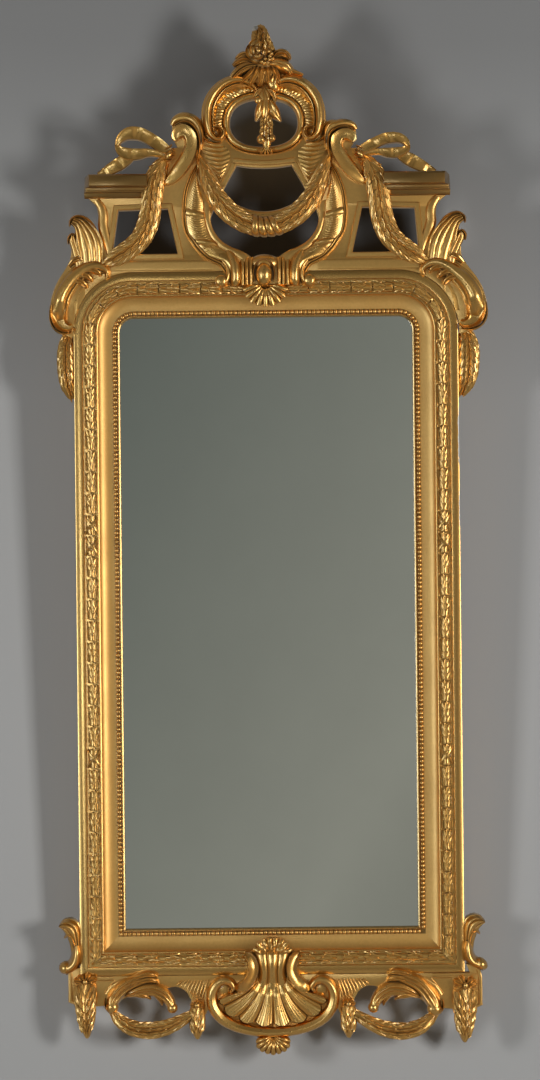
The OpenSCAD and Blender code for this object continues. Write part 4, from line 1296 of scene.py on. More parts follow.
def ear(c, seed):
    c.sheet(smooth([(-303, 566), (-306, 585), (-310, 602), (-313.5, 614), (-309, 621)], 6),
            smooth([(-286, 570), (-291, 590), (-296, 604), (-300, 615), (-305, 621.5)], 6), FACE - 1,
            leaf_flutes(2, 12, 3.6), 30, 28)
    c.sheet(smooth([(-299, 566), (-300, 588), (-302, 606), (-302, 622), (-304, 634), (-309.5, 640)], 6),
            smooth([(-260, 578), (-258.5, 597), (-259.5, 612), (-266, 628), (-277, 640), (-290, 649.5),
                    (-303, 650.5)], 6), FACE - 1, leaf_flutes(4, 15, 3.6), 40, 60)
    ridge(c, [(-312, 637), (-310, 646), (-302, 652.5), (-291, 652), (-279, 644.5), (-270, 633)], 3.0, 22,
          FACE - 4)
    ridge(c, [(-315, 609), (-314, 619), (-307.5, 624.5), (-302, 619)], 2.6, 18, FACE - 4)

    def turning(t, s):
        k = share(s, 0.62, 0.78)
        r = abs(t)
        rim = 0.55 + 0.45 * round_top((r - 0.86) / 0.14) if r > 0.86 else 0.14 + 0.78 * (r / 0.86) ** 5
        return scroll_tube(t, s) * (1 - k) + rim * k
    c.band([(-254, 554, 3, 9), (-252, 562, 5.5, 12), (-258, 569.5, 8.4, 14), (-270.5, 573.5, 11, 16),
            (-286, 570, 12.6, 18), (-301, 559.5, 13.8, 19), (-315, 544.5, 14.4, 20),
            (-325.5, 526, 14.6, 20), (-330, 507, 14.4, 20), (-330, 492, 13.4, 19),
            (-325.5, 480.5, 11.6, 18), (-316, 475.5, 8.6, 17), (-309, 478, 4.6, 15)], FACE - 1, turning, 8,
           28)
    ridge(c, [(-344, 510), (-344.5, 490), (-338.5, 474), (-325, 465.5), (-310, 467.5)], 2.0, 10, FACE + 3)
    for tip, base, w in (((-263, 560), (-296, 566), 6.4), ((-277, 551), (-306, 558), 6.6),
                         ((-285, 541), (-313, 549), 6.2)):
        mid = ((tip[0] + base[0]) / 2 + 2, (tip[1] + base[1]) / 2 + 4)
        c.band([(base[0], base[1], 4, 13), (mid[0], mid[1], w, 16),
                (tip[0] - 3, tip[1] + 2.5, w * 0.72, 13), (tip[0], tip[1] - 3.5, 2, 8)], FACE,
               fluted(2, 0.22), 6, 12)
    c.band([(-314, 573, 3, 9), (-306, 582, 5.5, 14), (-297, 585, 5, 13), (-290, 580, 2, 8)], FACE,
           fluted(2, 0.25), 6, 12)
    rod = Rod([(-316, 468, 6, 14), (-319.5, 450, 11, 22), (-321, 430, 12.5, 24), (-320.5, 405, 12.3, 24),
               (-318.5, 385, 10, 20), (-314, 370, 6, 13), (-310.5, 362, 2.5, 7)], BOARD_BACK - 2, 4)
    garland(c, rod, seed + 20, end=rod.length - 6, long=0.8)
    # hollowed ground behind the scroll
    c.sheet([(-298, 556), (-311, 540), (-319, 522), (-322, 500)],
            [(-284, 546), (-294, 532), (-300, 516), (-303, 496)], FACE - 1, lambda s,
            t: 2.6 - 2.0 * math.sin(math.pi * t), 20, 8)


def ear_outline():
    """Outline of the board behind an ear, from the shoulder round to the corner of the frame."""
    outer = [(-270, 634), (-284, 641), (-296, 640), (-303, 630), (-309, 610), (-311, 588), (-320, 569),
             (-331, 552), (-340, 532), (-345, 508), (-342, 486), (-332, 470), (-318, 462), (-309, 459)]
    return (smooth(EAR_LINE, 4) + smooth(outer, 4) + [(-307.9, 462)]
            + corner_arc(CORNER_R + SEAM, 0, 37.5, 8))


def ring_scroll(c, seed):
    """Scroll beside the oval, its lower end rolled into an eye."""
    tip = (-8, 846) if seed == 1 else (-14, 852)
    c.band([(tip[0], tip[1], 2, 9), (-15, 857, 4.5, 13), (-29, 866.5, 7, 16), (-47, 867.5, 8.6, 18),
            (-65, 859.5, 9.6, 20), (-79, 845, 10.4, 20), (-87.5, 827, 10.6, 20), (-89.5, 808, 10.4, 20),
            (-88.5, 795, 9.6, 20), (-85, 782, 7.4, 19), (-77, 774, 5.4, 18), (-68, 775, 4.2, 17),
            (-64, 783, 3.6, 16), (-67, 791, 3, 15), (-74, 792.5, 2, 13)], FACE, scroll_tube, 8, 26)
    c.disc(-76.5, 784, 10, FACE, 12, "bowl")
    ridge(c, [(-98.8, 806), (-99.4, 790), (-94, 775), (-82, 767.5), (-68, 768.5)], 1.4, 8, FACE + 3)
    if seed == 2:
        c.ball(-15, 860, 8, FACE + 13, 7, 12, 0.5)


def ring_border(c):
    """Rounded border of the oval with a fine line outside it."""
    c.band([(x, z, 5.6, 8.5) for x, z in oval(OVAL_A + 5.8, OVAL_B + 5.8, 10)], FACE, round_top, 2, 12,
           closed=True)
    c.band([(x, z, 0.9, 4.0) for x, z in oval(OVAL_A + 12.6, OVAL_B + 12.4, 10)], FACE, round_top, 2, 6,
           closed=True)


def crest_ribs(c):
    """Ribbed grounds beside the oval and on the flanks of the middle opening."""
    def tongues(s, t):
        phase = (s - 0.10 * math.sin(math.pi * t)) * 8.5
        return 1.4 + 2.6 * lobes(phase) ** 0.6 * lobes(0.04 + 0.92 * t) ** 0.7
    c.sheet([(-103, 771), (-100, 757), (-92, 742), (-82, 724), (-71, 705)],
            [(-64, 765), (-55, 755), (-54, 744), (-60.5, 728), (-69, 709)], FACE, tongues, 130, 12)

    def spokes(s, t):
        fine = lobes(s * 19) ** 0.8
        broad = lobes(s * 5.5 + 0.15 * t)
        arch = math.sin(math.pi * t)
        return 2.6 + 1.5 * fine * (0.4 + 0.6 * broad) * (0.5 + 0.5 * arch) + 2.2 * broad ** 0.5 * arch
    outer = [(-84, 785), (-82, 800), (-80.5, 815), (-75, 830), (-65, 843), (-50, 852.5), (-33, 857),
             (-19, 855), (-9, 848)]
    inner = oval(OVAL_A + 12.5, OVAL_B + 12, 6, 98, 192)[::-1]
    c.sheet(smooth(outer, 6), inner, FACE, spokes, 170, 12)


def flower_drop(c):
    """Bell flower and buds that hang in the oval."""
    rod = Rod([(2, 851, 11, 6), (1, 842, 12, 10), (3, 832, 11, 12), (4, 820, 9, 12), (4.5, 806, 8, 12),
               (4.5, 790, 8, 12), (4.5, 776, 9, 10), (4.5, 764, 7.5, 7), (4.5, 755, 3, 3)], SECOND, 4)
    rod.body(c, 0.9, 14)
    # crown of the drop
    for stations in ([(-1, 851, 3, 7), (-8, 848, 5, 11), (-13, 842, 4, 9), (-13, 836, 2, 6)],
                     [(5, 850, 4, 8), (13, 847, 6, 12), (17.5, 839, 5, 11), (16.5, 829, 2.4, 7)],
                     [(1, 852, 4, 9), (4, 844, 7.5, 13), (6, 834, 6, 13), (7, 827, 3, 9)]):
        c.band(stations, SECOND - 1, fluted(2, 0.25), 6, 14)
    c.ball(-8.5, 834, 5.6, SECOND + 7, 5.6 * 0.9, 5.6 * 1.1)
    # bell of three petals
    for stations in ([(0, 833, 6, 12), (-3, 823, 9, 15), (-7, 812, 8, 13), (-13, 801, 1.6, 6)],
                     [(9, 833, 6, 12), (13, 823, 9, 15), (19, 812, 8.6, 13), (28, 800.5, 1.6, 6)],
                     [(4, 834, 7, 15), (3, 821, 9.4, 18), (2, 810, 8, 16), (1, 799, 1.8, 9)]):
        c.band(stations, SECOND - 1, fluted(2, 0.2), 7, 16)
    # knotty stem
    rng = random.Random(6)
    for row in range(6):
        for k in range(3):
            rod.leaf(c, 44 + row * 5.4 + 2.5 * (k % 2), math.pi * (0.22 + 0.28 * k), 10, 8,
                     turn=rng.uniform(-0.35, 0.35), tip=2.4, thick=2.6)
    for x, z, r in ((-4.4, 772, 6.8), (13, 773.5, 5.8)):
        c.ball(x, z, r, SECOND + 6, r * 0.9, r * 1.1)
        c.disc(x, z - 0.5, r * 0.62, SECOND + 8, 5.5, "button")
    for side in (-1, 1):
        for dx, dz in ((17, -7), (10, -11), (3.5, -13)):
            ridge(c, [(4 + side * 1, 761), (4 + side * dx * 0.5, 761 + dz * 0.62),
                      (4 + side * dx, 761 + dz)], 2.0, 5.5, FACE + 6)


def leaf_mass(c, stations, back, flutes=3, depth=0.22):
    """Broad leaf with shallow flutes."""
    c.band(stations, back, fluted(flutes, depth), 7, 8 * flutes)


def finial(c):
    """Bud and open rose over a mass of leaves."""
    back = FACE
    core = Rod([(-2, 872, 29, 10), (-1, 884, 30, 16), (0, 896, 25, 24), (0, 909, 21, 28), (-1, 920, 16, 28),
                (-3, 931, 13.5, 25), (-4.5, 942, 11, 22), (-6, 950, 8, 17), (-7, 955, 4.5, 11)], back, 4)
    core.body(c, 0.92, 20)
    c.ball(-1, 873, 28, FACE + 2, 13, 13)
    rng = random.Random(9)
    # scales of the bud
    for row in range(7):
        s = 40 + row * 5.6
        count = 6 if row < 4 else 5
        for k in range(count):
            a = math.pi * (k + 0.5 + 0.3 * (row % 2)) / (count + 0.3)
            core.leaf(c, s + rng.uniform(-1, 1), a, 10 * rng.uniform(0.9, 1.1), 9.5 - row * 0.6,
                      turn=rng.uniform(-0.3, 0.3), tip=1.2, thick=2.6)
    # open rose, its petals curled round one another
    heart = (-7, 911)
    rings = ((17.5, 5, 5.2, 25), (11, 4, 5.0, 30), (5, 3, 3.8, 33))
    for ring, (radius, count, wide, rise) in enumerate(rings):
        for k in range(count):
            first = 360 * k / count + 40 * ring
            arc = []
            for i in range(7):
                a = math.radians(first + i * 16)
                pull = radius * (1 - 0.035 * i)
                swell = math.sin(math.pi * (0.12 + 0.76 * i / 6))
                arc.append((heart[0] + pull * math.cos(a), heart[1] + pull * math.sin(a), wide * swell,
                            rise - 2 + 3 * swell))
            c.band(arc, back, ribbon, 3, 10)
    c.ball(heart[0], heart[1], 3.4, back + 31, 3.4 * 0.9, 3.4 * 1.1)
    # berries beside it
    for x, z in ((4, 899), (10, 903), (9, 896), (15, 899), (3, 892), (14, 906), (-3, 894), (10, 910)):
        c.ball(x + rng.uniform(-1, 1), z + rng.uniform(-1, 1), 3.6, back + 24, 6)
    # leaves and lobes round the foot
    leaf_mass(c, [(14, 900, 5, 20), (22, 907, 8, 25), (31, 909, 8.4, 26), (39, 905, 7, 22),
                  (43, 899, 3, 14)], back, 3)
    leaf_mass(c, [(8, 893, 6, 20), (20, 893, 10, 27), (32, 889, 11.5, 29), (41, 882, 9.5, 24),
                  (45, 875, 4, 15)], back, 2, 0.14)
    leaf_mass(c, [(-18, 903, 4, 18), (-27, 908, 6, 21), (-36, 906, 6, 19), (-43, 901, 3, 13)], back, 2)
    leaf_mass(c, [(-16, 895, 5, 20), (-28, 900, 7, 24), (-39, 897, 6.6, 21), (-48, 891, 3, 13)], back, 3)
    leaf_mass(c, [(-12, 890, 6, 22), (-25, 889, 8.4, 25), (-37, 883, 8.6, 23), (-47, 874, 6.6, 19),
                  (-54, 864, 3, 12)], back, 4)
    leaf_mass(c, [(30, 884, 6, 18), (43, 881, 6.4, 17), (54, 878, 5, 14), (64, 875, 2.5, 10)], back, 2)
    for x0, x1, z1, w in ((-16, -34, 861, 6), (-10, -20, 857, 7.4), (-2, -5, 855, 8), (8, 10, 856, 7.6),
                          (18, 26, 861, 6.6)):
        leaf_mass(c, [(x0 * 0.8, 889, 6, 18), (x0, 881, w * 1.1, 24), ((x0 + x1) / 2, 872, w, 22),
                      (x1, z1 + 4, w * 0.7, 18), (x1 * 1.05, z1, 2, 12)], back, 3, 0.18)
    leaf_mass(c, [(19, 877, 4, 18), (18, 868, 8, 24), (15, 858, 8, 21), (11, 850, 3, 12)], back, 2)


HARP_OUTER = [(-111, 733), (-121, 716), (-130, 692), (-133, 668), (-133, 645), (-129, 625), (-119, 607),
              (-111, 596), (-99, 584), (-87, 577), (-75, 571), (-66, 561)]
HARP_INNER = [(-109, 722), (-103, 694), (-98.5, 676), (-98.5, 662), (-97.5, 650), (-94.5, 635), (-88, 618),
              (-75, 602), (-60, 592), (-46, 580), (-36, 564), (-36, 548)]


def harp(c, seed):
    """Ribbed band of the lyre, rolled over at its foot."""
    pitch = settings().course.rib_pitch * 1000
    run = 205.0

    def height(s, t):
        arch = math.sin(math.pi * min(max(t, 0), 1))
        wave = lobes((s * run - 7 * arch + 1.6 * math.sin(19 * s)) / pitch) ** 0.7
        wave *= min(1, 0.2 + 1.3 * arch)
        base = 4.6 + 2.8 * arch
        # two breaks, each a plain raised lip, part the ribs into three lengths
        for at in (0.36, 0.60):
            if abs(s - at) < 0.026:
                return base + 3.2 * math.cos(math.pi * (s - at) / 0.056) ** 0.5
        if s < 0.72:
            return base + 1.2 * wave * (1 if s < 0.66 else 0.3)
        f = (s - 0.72) / 0.28
        return base + 8.5 * f * arch ** 0.6 + 1.5 * f

    outer = [(x + 7.4, z) if z > 700 else (x + 8.0, z + (5.5 if z < 620 else 0)) for x, z in HARP_OUTER]
    outer[-1] = (-60, 562)
    c.sheet(smooth(outer + [(-56, 546)], 6), smooth(HARP_INNER, 6), FACE, height, 330, 16)
    c.sheet(smooth([(x + 1, z) for x, z in HARP_OUTER], 6), smooth(outer, 6), FACE,
            lambda s, t: 2.8 + 3.6 * lobes(2 * t) ** 0.8, 90, 12)
    for pts in ([(-103, 597), (-94, 600), (-86, 606)], [(-99, 593), (-90, 596), (-81, 602)]):
        ridge(c, pts, 1.2, 7.5)
    # the foot rolls over into a knob
    c.band([(-62, 599, 2, 3), (-55, 588, 7.6, 11), (-49, 573, 10, 17), (-47, 558, 10.4, 19),
            (-47.5, 546, 9.6, 17), (-49, 539, 6, 12)], FACE, round_top, 7, 16)
    c.band([(-68, 579, 3, 8), (-61, 570, 4.4, 11), (-58.5, 559, 4.8, 13), (-61, 548, 4.6, 14),
            (-67, 541, 3.4, 14), (-74, 539, 2.4, 13)], FACE + 1, round_top, 6, 10)
    c.disc(-70.5, 547, 8.8, OVER_LAUREL, 10, "button")


def swag(c):
    """Garland that hangs across the lyre, bound with ribbon in its middle."""
    left = [(-103, 742, 4, 11), (-97, 724, 8, 15), (-88, 702, 11, 18), (-77, 682, 13.6, 20),
            (-61, 662, 14.6, 21), (-44, 648, 14.6, 21), (-22, 637, 14, 21)]
    rod = Rod(left + [(0, 633, 13, 20)] + flip(left), FACE, 4)
    rod.body(c, 0.92)
    half = rod.length / 2
    garland(c, rod, 31, 1, 0, half - 10, body=False)
    garland(c, rod, 32, -1, half + 10, rod.length, body=False)
    # ribbon wound round it
    cloth = [(-5.4, -0.5), (-4.6, 2.4), (-2.2, 4.2), (2.2, 4.2), (4.6, 2.4), (5.4, -0.5)]
    for turn in range(4):
        rows = []
        for i in range(15):
            f = i / 14
            s = half + 10.4 * (turn - 1.5) + 9 * (f - 0.5)
            a = math.pi * (0.07 + 0.86 * f)
            rows.append([rod.place(s + u, a, lift) for u, lift in cloth])
        c.loft(rows)
    # plain roll behind the leaves
    roll = [(-62, 676, 3, 5), (-46, 664, 6.5, 8), (-24, 653.5, 8.5, 9)]
    c.band(roll + [(0, 650, 9, 10)] + flip(roll), FACE - 5, round_top, 6, 10)


def egg_boss(c):
    """Egg in its cup between two reeded blocks."""
    def reeds(s, t):
        u = abs(80 * t - 40)
        reed = lobes((u - 19) / 7) ** 0.7 if u > 19 else 0
        top = math.sin(math.pi / 2 * share(s, -0.08, 0.5))
        return 2 + (7.5 + 5.5 * reed) * top * (1 - 0.3 * share(u, 30, 40))
    c.sheet([(-40, 585), (-40, 572), (-40, 555), (-40, 540)], [(40, 585), (40, 572), (40, 555), (40, 540)],
            FACE, reeds, 24, 80)
    c.ball(-2, 557, 14.4, FACE + 7, 19, 20)
    c.ball(-1, 575, 25, FACE - 1, 16, 15)
    c.band([(-17, 545, 1.4, 14), (-18.5, 560, 1.8, 18), (-14.5, 574, 2, 19), (-2, 581, 2, 18),
            (10.5, 574, 2, 19), (14.5, 560, 1.8, 18), (13, 545, 1.4, 14)], FACE - 1, round_top, 6, 8)
    ridge(c, [(-40, 541), (-20, 540), (-2, 538.5), (18, 540), (40, 541)], 3, 13)


def shell_drop(c):
    """Small shell that overlaps the head rail."""
    rim = [(-36, 538), (-33, 524), (-22, 511.5), (0, 505), (22, 511.5), (33, 524), (36, 538)]

    def height(s, r, cut):
        rib = lobes(9 * s) ** 0.6
        return 8.0 + 5.5 * lobes(0.2 + 0.75 * r) + 4.4 * (rib - 0.5) * (0.25 + r)
    c.shell((0, 543), rim, FACE - 1, height, 0.26, 126, 12, 0.12, 9)
    ridge(c, [(-21, 533), (-12, 525), (0, 522), (12, 525), (21, 533)], 2.0, 17, FACE - 2)


class PIER_OT_crest_carving(bpy.types.Operator):
    """Scrolls, bows, garlands, ears, lyre bands, oval, finial, swag, egg and shell of the crest"""

    bl_idname = "pier.crest_carving"
    bl_label = "Crest carving"

    def execute(self, context):
        for s, side in ((1, "left"), (-1, "right")):
            board("ear_" + side, "ear_" + side, ear_outline(), side=s)
        pair(shoulder_scroll, "shoulder_scroll")
        pair(bow, "bow", angle=30)
        pair(side_garland, "side_garland", "leaf_gold")
        pair(ear, "ear")
        pair(ring_scroll, "ring_scroll")
        pair(harp, "harp")
        single(ring_border, "ring_border")
        single(flower_drop, "flower_drop")
        single(finial, "finial", "worn_gold")
        single(swag, "swag", "leaf_gold")
        single(egg_boss, "egg_boss")
        single(shell_drop, "shell_drop")
        ribs = Carving()
        crest_ribs(ribs)
        ribs.double()
        ribs.finish("crest_ribs", [], "carved_gold")
        return {"FINISHED"}


# ---------- apron ----------

APRON_EYE = [(-268, -610), (-256, -611), (-246, -604), (-234, -597), (-215, -595), (-197, -596),
             (-186, -590), (-172, -584), (-155, -581), (-141, -587), (-132, -598), (-129, -612)]
APRON_FOOT = [(-130, -622), (-109, -626), (-104, -619), (-96, -626), (-84, -640), (-60, -650), (-32, -656),
              (-18, -666), (0, -670)]


def apron_borders(c):
    """Raised borders and small cuts of the left half of the apron board."""
    border(c, [(-323.6, -557), (-323.6, -575), (-323.6, -602)], 2.9, 2.2)
    border(c, [(-323, -603.5), (-319, -605), (-315.5, -606.5)], 2.0, 1.8)
    for k in range(7):
        z = -573 - 4.2 * k
        ridge(c, [(-319.6, z), (-316, z + 0.4), (-312.6, z + 1.0)], 1.3, 2.2)
    border(c, [(-318, -565), (-290, -565.2), (-255, -565.6)], 1.7, 1.8)
    ridge(c, [(-281, -569.5), (-266, -569.8), (-253.5, -569.5), (-260, -578), (-269, -589)], 1.0, 1.7)
    c.band([(-266, -592, 3.0, 2), (-258, -581, 3.4, 2.2), (-246, -573, 3.2, 2.2), (-234, -567.5, 2.6, 2)],
           FACE, round_top, 5, 8)
    for k in range(9):
        x = -149 + 5.0 * k
        low = -600 + max(0, 7 - k) * 2.8
        ridge(c, [(x - 4, max(low, -578 - 3.4 * k)), (x, (max(low, -578 - 3.4 * k) - 571) / 2),
                  (x + 5.5, -570.5)], 1.9, 2.8)
    for k in range(4):
        z = -592 - 5 * k
        ridge(c, [(-131 + 2 * k, z - 5), (-122, z + 1), (-110, z + 9)], 1.3, 2.2)
    border(c, [(-108.5, -572), (-107, -590), (-107, -612)], 2.2, 1.6)
    c.sheet([(-133, -575), (-133, -586), (-127, -600)], [(-150, -577), (-138, -588), (-131.5, -600)], FACE,
            lambda s, t: 1.6, 10, 4)


def apron_leaf(c, seed):
    """Leaf that stands up beside the foot of the stile."""
    back = BOARD_BACK - 2
    c.sheet(smooth([(-321, -536), (-323, -517), (-327, -502), (-333, -491), (-340, -483)], 6),
            smooth([(-305.5, -533), (-305.5, -510), (-306, -492), (-310, -477), (-321, -470), (-333, -472),
                    (-340.5, -480)], 6), back, leaf_flutes(3, 31, 4.2), 44, 56)
    c.band([(-333, -502, 1.6, 18), (-327, -497, 4, 26), (-321, -500, 5, 31), (-316, -512, 3, 33)], back,
           round_top, 6, 10)
    c.band([(-313, -512, 6, 30), (-312.5, -523, 9.4, 33), (-314.5, -536, 10, 33), (-320, -545.5, 10, 32),
            (-328, -550, 10, 30), (-335, -551, 8, 26)], back, round_top, 7, 20)
    c.ball(-331.5, -549, 10.4, back + 15, 16)
    ridge(c, [(-309.5, -533), (-313, -546), (-321, -556), (-331, -561)], 1.8, 20, back)


def apron_scroll(c, seed):
    """Two leafy scrolls of the apron."""
    def leafy(low, high):
        """Three flutes that die out towards the rounded end."""
        def section(t, s):
            cut = lobes(1.5 * (t + 1))
            return round_top(t * 0.97, s) * (1 - 0.30 * (1 - cut) * (1 - share(s, low, high)))
        return section
    c.band([(-186, -565, 3, 9), (-201, -567, 7.5, 14), (-219, -571, 10, 17), (-235, -578, 11.2, 19),
            (-247.5, -589, 11.4, 20), (-255, -601, 10.6, 20), (-257, -611, 8.6, 18)], FACE,
           leafy(0.72, 0.95), 8, 32)
    c.ball(-256.5, -611, 10.6, FACE + 7, 12)
    c.band([(-236, -594, 3, 8), (-222, -589, 8, 14), (-205, -584.5, 10.6, 17), (-188, -585, 11.6, 18),
            (-174, -592.5, 10.8, 18), (-165, -603, 9.2, 17), (-161.5, -613, 7.4, 15)], FACE,
           leafy(0.70, 0.95), 8, 32)
    c.ball(-160.5, -613.5, 8.8, FACE + 6, 11)
    ridge(c, [(-268, -597), (-268.5, -609), (-263, -619), (-254, -622.5)], 1.6, 9)
    # tips of the leaves
    tips = ([(-222, -565, 4, 14), (-207, -560.5, 6, 17), (-194, -559.5, 5.4, 15), (-184, -564, 2, 8)],
            [(-214, -571, 4, 15), (-200, -568, 6, 18), (-188, -569.5, 5, 14), (-182, -575, 2, 8)],
            [(-222, -592, 4, 12), (-210, -593, 5.4, 14), (-201, -595.5, 4, 11), (-195, -600, 1.6, 6)],
            [(-190, -590, 4, 14), (-182, -597, 5, 15), (-178, -604, 3.6, 11), (-177, -610, 1.6, 6)])
    for stations in tips:
        c.band(stations, FACE, fluted(2, 0.2), 6, 12)


def apron_garland(c, seed):
    """Garland below the scrolls, with its inner drop."""
    rod = Rod([(-256, -621, 4, 9), (-246, -633, 7.6, 14), (-230, -644, 10, 17), (-210, -649.5, 11, 18),
               (-190, -649.5, 11, 18), (-171, -645.5, 10, 17), (-153, -638, 8.4, 15), (-138, -630, 6.4, 13),
               (-124, -622, 4.6, 10)], FACE, 4)
    rod.body(c, 0.92)
    middle = rod.length * 0.46
    for way, start, end in ((1, 0, middle), (-1, middle, rod.length)):
        dress(c, rod, 27, 7.2, 8, way, start, end, (0.08, 0.29, 0.5, 0.71, 0.92), splay=0.16, thick=1.9,
              seed=seed + 40 + way)
    drop = Rod([(-121, -606, 7, 10), (-121, -616, 10.5, 15), (-121, -630, 11, 16), (-121, -645, 10.6, 16),
                (-121, -656, 8, 13), (-121, -664, 3.4, 8)], FACE, 4)
    tassel(c, drop, seed + 50)


def tassel(c, drop, seed):
    """Hanging bunch of small leaves under a flower."""
    drop.body(c, 0.95, 14)
    dress(c, drop, 17, 8.6, 7, 1, 6, drop.length - 16, (0.05, 0.26, 0.42, 0.58, 0.74, 0.95), splay=-0.5,
          tip=1.0, thick=2.1, seed=seed, berries=False)
    x, z, w, h = drop.at(3)[:4]
    rng = random.Random(seed)
    for k in range(7):
        a = math.radians(20 + 360 * k / 7 + rng.uniform(-12, 12))
        dx, dz = w * 1.1 * math.cos(a), w * 0.66 * math.sin(a)
        c.band([(x + dx * 0.2, z + dz * 0.2, 3, h + 3), (x + dx * 0.65, z + dz * 0.65, 5, h + 5),
                (x + dx * 1.1, z + dz * 1.1, 4.2, h + 2), (x + dx * 1.3, z + dz * 1.3, 1.6, h - 3)],
               drop.back, fluted(2, 0.25), 5, 10)
    c.ball(x, z, 4.2, drop.back + h + 3, 4)


def pendant(c, seed):
    """Drop at the corner of the apron."""
    line = [(-299, -567, 13, 9), (-299.5, -578, 15.4, 14), (-300, -590, 16.6, 18), (-299.5, -604, 16, 19.5),
            (-299, -619, 14.4, 19.5), (-298.5, -634, 12, 18), (-298, -646, 9.4, 15),
            (-297.5, -655, 6.4, 12), (-297.5, -661, 3, 8)]
    if seed == 2:
        line = [(x, -575 + 0.93 * (z + 567), w, h) for x, z, w, h in line]
    tassel(c, Rod(line, FACE, 4), seed + 60)


def shell_neck(c):
    """Palmette and fluted throat over the shell, between two blades."""
    palmette = [(33, -525), (25, -511), (12, -504), (0, -502), (-12, -504), (-24, -511), (-33, -524)]

    def ruffle(s, r, cut):
        wave = 3.4 * (cut ** 0.6 - 0.5) * (0.3 + r)
        return 9 + 6 * math.sin(math.pi * 0.75 * r) + wave + 1.4 * math.sin(23 * s + 9 * r)
    c.shell((0, -538), palmette, FACE, ruffle, 0.32, 90, 12, 0.09, 8)

    def throat(s, t):
        u = 2 * t - 1
        flute = abs(math.cos(math.pi * 1.5 * u)) ** 0.7
        swell = (17 + 7 * math.sin(math.pi * min(1, s * 1.35)) - 7 * s) * (0.6 + 0.4 * share(s, 0, 0.12))
        return max(1, swell * (1 - 0.30 * u * u) - 5.0 * (1 - flute))
    c.sheet(smooth([(-27, -519), (-28, -531), (-24.5, -545), (-22, -560), (-25, -575), (-36, -591)], 5),
            smooth([(27, -519), (28, -531), (24.5, -545), (22, -560), (25, -575), (36, -591)], 5), FACE,
            throat, 50, 42)

    def blade(t, s):
        """Flat face that falls to one side behind a thin rim."""
        r = abs(t)
        if r > 0.84:
            return 0.40 + 0.60 * round_top((r - 0.84) / 0.16)
        return 0.90 - 0.22 * t - 0.10 * math.cos(math.pi * t / 1.7)
    for side in (-1, 1):
        top = -527 if side < 0 else -524
        c.band([(side * 44, top, 2, 11), (side * 36, -532, 7, 18), (side * 31, -545, 9, 22),
                (side * 31.5, -558, 9, 22), (side * 37, -569, 9, 22), (side * 44, -577.5, 9.8, 22),
                (side * 52, -581.5, 9.2, 20), (side * 59, -582.5, 5, 13)], FACE, blade, 7, 20)
        ridge(c, [(side * 25, -585), (side * 40, -590), (side * 58, -590), (side * 70, -585)], 1.5, 11)


def shell_fan(c):
    """Fan of the shell."""
    rim = [(-70, -593), (-84, -600), (-83, -612), (-73, -623), (-56, -633), (-30, -640.5), (0, -643),
           (30, -640.5), (56, -633), (73, -623), (83, -612), (84, -600), (70, -593)]

    def height(s, r, cut):
        fine = lobes(40 * s + 0.3 * math.sin(20 * s)) ** 0.8
        dish = 16 * share(r, -0.12, 0.3) - 12 * r + 9 * r * r
        return dish + (cut ** 0.6 - 0.6) * (1.5 + 7 * r ** 1.2) + 1.0 * (fine - 0.5) * share(r, 0.1, 0.6)
    c.shell((0, -566), rim, FACE, height, 0.29, 288, 28, 0.10, 8, True)
    # wavy lip outside the ends of the lobes
    lip = []
    for i, p in enumerate(spread(smooth(rim, 6), 128)):
        k = 1.02 - 0.11 * (1 - lobes(8 * i / 128) ** 0.6)
        x, z = mix((0, -566), p[:2], k)
        lip.append((x, z, 1.5, 11))
    c.band(lip, FACE, round_top, 1, 6)


def shell_rim(c):
    """Rolled rim round the shell."""
    def soft(t, s):
        return round_top(t, s) ** 0.75 * (1 - 0.10 * math.exp(-((t - 0.4) / 0.16) ** 2))
    left = [(-67, -590, 2.5, 15), (-62.5, -582, 5, 17), (-67, -573.5, 6.6, 18), (-78, -570, 7.6, 18),
            (-89, -575.5, 8.2, 18), (-96.5, -588, 8.8, 18), (-97.5, -602, 9.2, 17), (-93, -617, 9.4, 17),
            (-81, -632, 9.4, 17), (-60, -644, 9, 17), (-32, -651.5, 8.6, 17)]
    c.band(left + [(0, -654, 8.6, 17)] + flip(left), FACE, soft, 8, 18)
    for side in (-1, 1):
        c.disc(side * 78, -585.5, 10, FACE - 1, 5, "button")
        ridge(c, [(side * 101, -598), (side * 101, -583), (side * 93, -570), (side * 79, -564.5),
                  (side * 66, -568)], 1.7, 6, FACE + 6)


def shell_pendant(c):
    """Small shell at the foot."""
    rim = [(-26, -662.5), (-28, -673), (-21, -683.5), (0, -690), (21, -683.5), (28, -673), (26, -662.5)]

    def height(s, r, cut):
        return 5 + 11 * lobes(0.12 + 0.75 * r) + 3.0 * (cut ** 0.7 - 0.5) * (0.25 + r)
    c.shell((0, -660), rim, FACE, height, 0.10, 108, 16, 0.08, 9)


class PIER_OT_apron(bpy.types.Operator):
    """Pierced apron with its leaves, scrolls, garlands and pendants, and the shell at the foot"""

    bl_idname = "pier.apron"
    bl_label = "Apron and shell"

    def execute(self, context):
        top = -HALF_H - SEAM
        outline = ([(0, top), (-307.9, top), (-307.9, -548.4), (-327, -556), (-327, -604), (-316, -608),
                    (-290, -612)] + smooth(APRON_EYE, 4) + smooth(APRON_FOOT, 4))
        for side, s in (("left", 1), ("right", -1)):
            board("apron_" + side, "apron_" + side, outline, side=s)
        trim = Carving()
        apron_borders(trim)
        trim.double()
        trim.finish("apron_borders", [], "board_gold")
        pair(apron_leaf, "apron_leaf")
        pair(apron_scroll, "apron_scroll")
        pair(apron_garland, "apron_garland", "leaf_gold")
        pair(pendant, "pendant", "leaf_gold")
        single(shell_neck, "shell_neck")
        single(shell_fan, "shell_fan")
        single(shell_rim, "shell_rim")
        single(shell_pendant, "shell_pendant")
        return {"FINISHED"}


